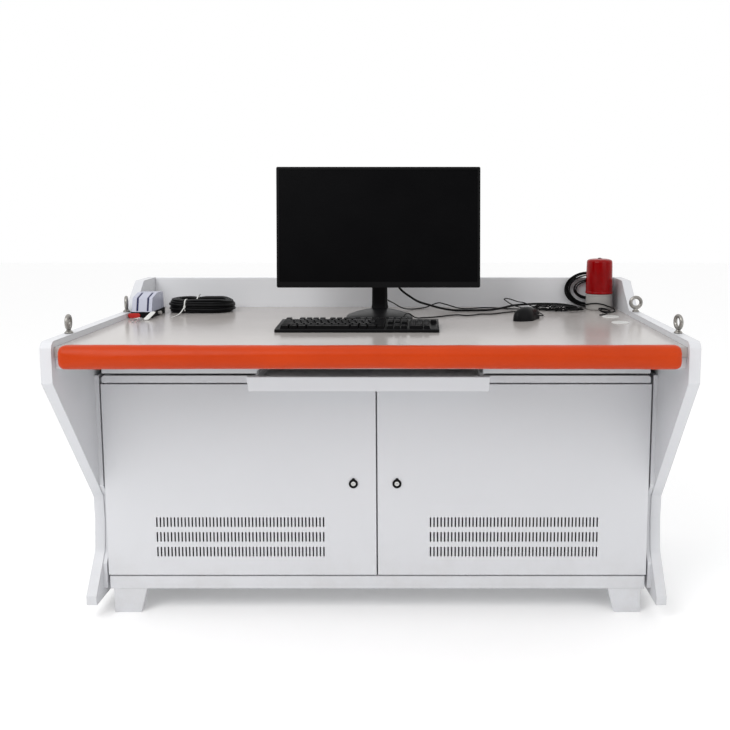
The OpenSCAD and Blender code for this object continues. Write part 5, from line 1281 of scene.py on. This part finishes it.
for name, body, nodeName, rows, plates in keyBlocks:
    values = {label: keyboard[key] / 1000 for label, key in (("Skirt", "skirt"), ("Cap height", "capHeight"),
        ("Slant", "slant"), ("Rim", "rim"), ("Dish", "dish"))}
    caps = grown(name, keyPlan(name + "Plan", rows), "keycaps", {**values, "Finish": materials["keyPlastic"]}, 25)
    carrier = bmesh.new()
    carrier.from_mesh(caps.data)
    for x0, x1, y0, y1 in plates:                                # the thin plate that moves with the block
        corners = [(keyboard["left"] + x * keyboard["pitch"], keyboard["near"] + y * keyboard["pitch"])
            for x, y in ((x0, y0), (x1, y0), (x1, y1), (x0, y1))]
        addRings(carrier, [[onDeck(x, y, z) for x, y in corners] for z in (-1.8, -0.72)])
    bpy.data.objects.remove(caps)
    settle(bmeshPiece(name, carrier, 25), body, "keyPlastic", [nodeName])
print("keyboard made")

# the cabinet's keys: two cut blades on a ring, a red tag on its edge and a white tag that leans on the signal box
keySet = {"at": (-730, 497, worktopTop), "keys": [(-2.9, -25, 17), (13.3, -24, 9)], "thick": 2, "slope": 18.24}
blades = bmesh.new()
for x, y, turn in keySet["keys"]:
    keyAt = (keySet["at"][0] + x, keySet["at"][1] + y, keySet["at"][2] + 0.3)
    bow = [(10 * math.cos(a), 32 + 10 * math.sin(a)) for a in (math.radians(d) for d in range(-65, 246, 10))]
    cuts = [(-3, 22), (-3, 3), (-1.6, 1), (-3, -1.4), (-3, -4.5), (-1.2, -6.5), (-2.6, -9), (-2.6, -12), (-1.5, -14),
        (-3, -17), (-3, -20), (-1.8, -23.6), (0, -26), (3, -24)]
    addSlab(blades, bow + cuts, keySet["thick"], lambda u, v, w: turnedPlace(keyAt, turn, u, v, w), 0.3)
ringPoints = []
for a in aroundTurn(28):
    ringPoints.append((keySet["at"][0] - 1.5 + 12.5 * math.cos(a), keySet["at"][1] + 19 + 10 * math.sin(a),
        keySet["at"][2] + 3.3 + 0.5 * math.sin(a * 2)))
rings = []
for at, a in zip(ringPoints, aroundTurn(28)):
    out = Vector((math.cos(a), math.sin(a), 0))
    rings.append([desk(*(Vector(at) + out * 0.7 * math.cos(b) + Vector((0, 0, 0.7 * math.sin(b)))))
        for b in aroundTurn(8)])
addRings(blades, rings, loop=True)
settle(bmeshPiece("cabinetKeyBlades", blades, 40), "desk", "brightSteel", ["cabinet_keys"])
redTag = bmesh.new()
addSlab(redTag, roundedOutline([(-18.5, -7.2), (18.5, -7.2), (18.5, 7.2), (-18.5, 7.2)], [7, 7, 7, 7], 8), 6,
    lambda u, v, w: desk(keySet["at"][0] - 22.5 + u, 547.7 - w, 807.5 + v), 1.2)
settle(bmeshPiece("redKeyTag", redTag, 40), "desk", "tagRed")
whiteTag = bmesh.new()


def onWhiteTag(u, v, w):
    slope = math.radians(keySet["slope"])
    y, z = v * math.cos(slope) - w * math.sin(slope), v * math.sin(slope) + w * math.cos(slope)
    return turnedPlace((keySet["at"][0] + 28, keySet["at"][1] - 3, keySet["at"][2] + 0.5), -9, u, y, z)


addSlab(whiteTag, roundedOutline([(-8.5, 0), (8.5, 0), (8.5, 57.3), (-8.5, 57.3)], [8.2, 8.2, 8.2, 8.2], 8), 2,
    onWhiteTag, 0.5)
settle(bmeshPiece("whiteKeyTag", whiteTag, 40), "desk", "tieWhite")

# the signal box: blue inlays in both grooves and a small knob on its base
signalBox = {"at": (-761, 548, 818), "grooves": [(13, 6.5), (45, 6)], "inlay": 0.9}
inlays = bmesh.new()
for first, wide in signalBox["grooves"]:
    x0, x1 = signalBox["at"][0] + first + 0.15, signalBox["at"][0] + first + wide - 0.15
    rings = []
    for y, z in ((5.2, 2), (16, 39.9), (62, 51.4)):
        low, high = Vector((y, z)), Vector((y - signalBox["inlay"] * 0.8, z + signalBox["inlay"] * 0.6))
        rings.append([desk(x, signalBox["at"][1] + edge.x, signalBox["at"][2] + edge.y)
            for x, edge in ((x0, low), (x1, low), (x1, high), (x0, high))])
    addRings(inlays, rings)
settle(bmeshPiece("signalBoxInlays", inlays), "desk", "stripeBlue")
knob = bmesh.new()
addSpun(knob, [(0, 0), (5.2, 0), (5.2, 3), (4.6, 3.4), (5.8, 4), (6, 9), (5.4, 10), (0, 10.2)],
    desk(-697.5, 606.5, 809), (1, 0, 0), 32)
settle(bmeshPiece("signalBoxKnob", knob), "desk", "beaconGrey")

# the hank's tie, and screws, levers and terminals inside and behind the cabinet
hankTie = bmesh.new()
tieMiddle = Vector((561, 705, 808.4))
along = Vector((0.944, -0.331, 0))
aside = Vector((0.331, 0.944, 0))
rings = []
for a in aroundTurn(28):
    out = aside * math.copysign(abs(math.cos(a)) ** 0.7, math.cos(a)) * 12.6 + Vector((0, 0,
        math.copysign(abs(math.sin(a)) ** 0.7, math.sin(a)) * 8.2))
    outwards = out.normalized()
    rings.append([desk(*(tieMiddle + along * u + out + outwards * w))
        for u, w in ((-1.6, -0.5), (-1.6, 0.5), (1.6, 0.5), (1.6, -0.5))])
addRings(hankTie, rings, loop=True)
settle(bmeshPiece("hankTie", hankTie), "desk", "cordRubber")

rearCover = {"screwY": 850.6, "side": 744, "pitch": 186, "sideRows": (118, 255, 392, 529, 668),
    "edgeRows": (114, 672)}
coverScrews = [(x, z) for x in (-rearCover["side"], rearCover["side"]) for z in rearCover["sideRows"]]
coverScrews += [(-rearCover["side"] + rearCover["pitch"] * k, z) for k in range(1, 8) for z in rearCover["edgeRows"]]
growOn("desk", "zincSteel", "rearCoverScrews",
    pointsWith([desk(x, rearCover["screwY"], z) for x, z in coverScrews], (math.radians(-90), 0, 0)), "screws",
    {"Head width": 0.010, "Head height": 0.0026, "Slot width": 0.0014, "Seed": 11})

# X of the levers and of the terminals: their first one's middle from the rail's end
switchgear = {"railX": -412, "rails": (520, 380), "breakers": 6, "breakerX": 20.75, "breakerPitch": 18.2,
    "breakerFront": 742, "terminals": 36, "terminalX": 26.05, "terminalPitch": 8.4, "terminalFront": 768,
    "terminalRows": (-16.5, 16.5)}
lever = bmesh.new()
addBlock(lever, (-3, deskFront * 1000 - 7, -5), (3, deskFront * 1000 + 1, 5), 1.0)
leverPart = bmeshPiece("leverPart", lever)
leverPlaces = [desk(switchgear["railX"] + switchgear["breakerX"] + k * switchgear["breakerPitch"],
    switchgear["breakerFront"] - 0.5, switchgear["rails"][0] + 3) for k in range(switchgear["breakers"])]
growOn("desk", "blackPlastic", "breakerLevers", pointsWith(leverPlaces, (math.radians(-14), 0, 0)),
    "parts", {"Part": leverPart, "Part size": 1.0})
bpy.data.objects.remove(leverPart)
terminalPlaces = [desk(switchgear["railX"] + switchgear["terminalX"] + k * switchgear["terminalPitch"],
    switchgear["terminalFront"] - 0.2, switchgear["rails"][1] + z)
    for k in range(switchgear["terminals"]) for z in switchgear["terminalRows"]]
growOn("desk", "brightSteel", "terminalScrews", pointsWith(terminalPlaces, (math.radians(90), 0, 0)),
    "screws", {"Head width": 0.0052, "Head height": 0.0014, "Slot width": 0.0009, "Seed": 5})
print("small parts made")

nodeFinish = {
    "whitePaint": ["left_side_shell", "right_side_shell", "side_liners", "underframe", "drawer_fascia",
        "cabinet_shell", "front_frame", "plinth", "feet", "rear_cover", "left_door", "right_door", "drawer_tray"],
    # the upstand takes the lighter copy of the white paint: painted light
    "upstandWhiteWithPaintedLight": ["rear_upstand"],
    "worktopPaint": ["worktop"],
    "zincSteel": ["armrest_rail", "side_spacers", "door_pivots", "drawer_hangers", "slide_middles", "mounting_plate"],
    "brightSteel": ["left_lock_cam", "right_lock_cam", "beacon_reflector"],
    "blackPlastic": ["left_lock", "right_lock", "cable_bushing", "screen_housing", "tilt_bracket", "keyboard_case",
        "signal_box_base"],
    "screenPanel": ["screen_glass"],
    "palePlastic": ["rail_devices"],
    "ledgeWhite": ["hole_covers"],
    "boxLilac": ["signal_box"],
    "caseBlack": ["computer_case"],
    "coreSteel": ["isolating_transformer"],
}
for finishName, nodeNames in nodeFinish.items():
    for nodeName in nodeNames:
        paint(nodes[nodeName], finishName)
print("finishes laid on")

# pale floor and soft studio light: bright behind and above, dimmer before the desk
stage = {"floor": 14.0, "floorColour": (0.88, 0.88, 0.88), "behind": 1.0, "before": 0.14, "glow": 0.15}
floor = meshPiece("floor", [(-stage["floor"], -stage["floor"], 0), (stage["floor"], -stage["floor"], 0),
    (stage["floor"], stage["floor"], 0), (-stage["floor"], stage["floor"], 0)], [(0, 1, 2, 3)])
floorMaterial = bpy.data.materials.new("floorPale")
floorMaterial.use_nodes = True
floorShader = floorMaterial.node_tree.nodes["Principled BSDF"]
feed(floorMaterial.node_tree, floorShader, {"Base Color": (*stage["floorColour"], 1), "Roughness": 0.9,
    "Emission Color": (1, 1, 1, 1), "Emission Strength": stage["glow"]})
floor.data.materials.append(floorMaterial)

world = bpy.data.worlds.new("studio")
world.use_nodes = True
sky = world.node_tree
direction = newNode(sky, "ShaderNodeSeparateXYZ", None,
    {0: newNode(sky, "ShaderNodeTexCoord").outputs["Generated"]})
upwards = newNode(sky, "ShaderNodeMath", {"operation": "MAXIMUM"}, {0: direction.outputs[2], 1: 0})
mixed = newNode(sky, "ShaderNodeMath", {"operation": "MULTIPLY_ADD"},
    {0: direction.outputs[1], 1: 0.7, 2: timesOf(sky, upwards.outputs[0], 0.9)})
strength = mapTo(sky, mixed.outputs[0], stage["before"], stage["behind"], -0.7, 0.4)
feed(sky, sky.nodes["Background"], {"Strength": strength, "Color": (1, 1, 1, 1)})
bpy.context.scene.world = world


def areaLight(name, place, target, size, power):
    data = bpy.data.lights.new(name, "AREA")
    data.shape = "SQUARE"
    data.size = size
    data.energy = power
    lamp = addObject(name, data)
    lamp.location = place
    lamp.rotation_euler = (Vector(target) - Vector(place)).to_track_quat("-Z", "Y").to_euler()


areaLight("keyLight", (-1.7, -2.4, 3.0), (0, 0, 0.7), 2.2, 58)
areaLight("fillLight", (2.4, -2.8, 2.0), (0, 0, 0.6), 2.4, 18)
bpy.context.scene.view_settings.view_transform = "Standard"
print("stage and lights ready")
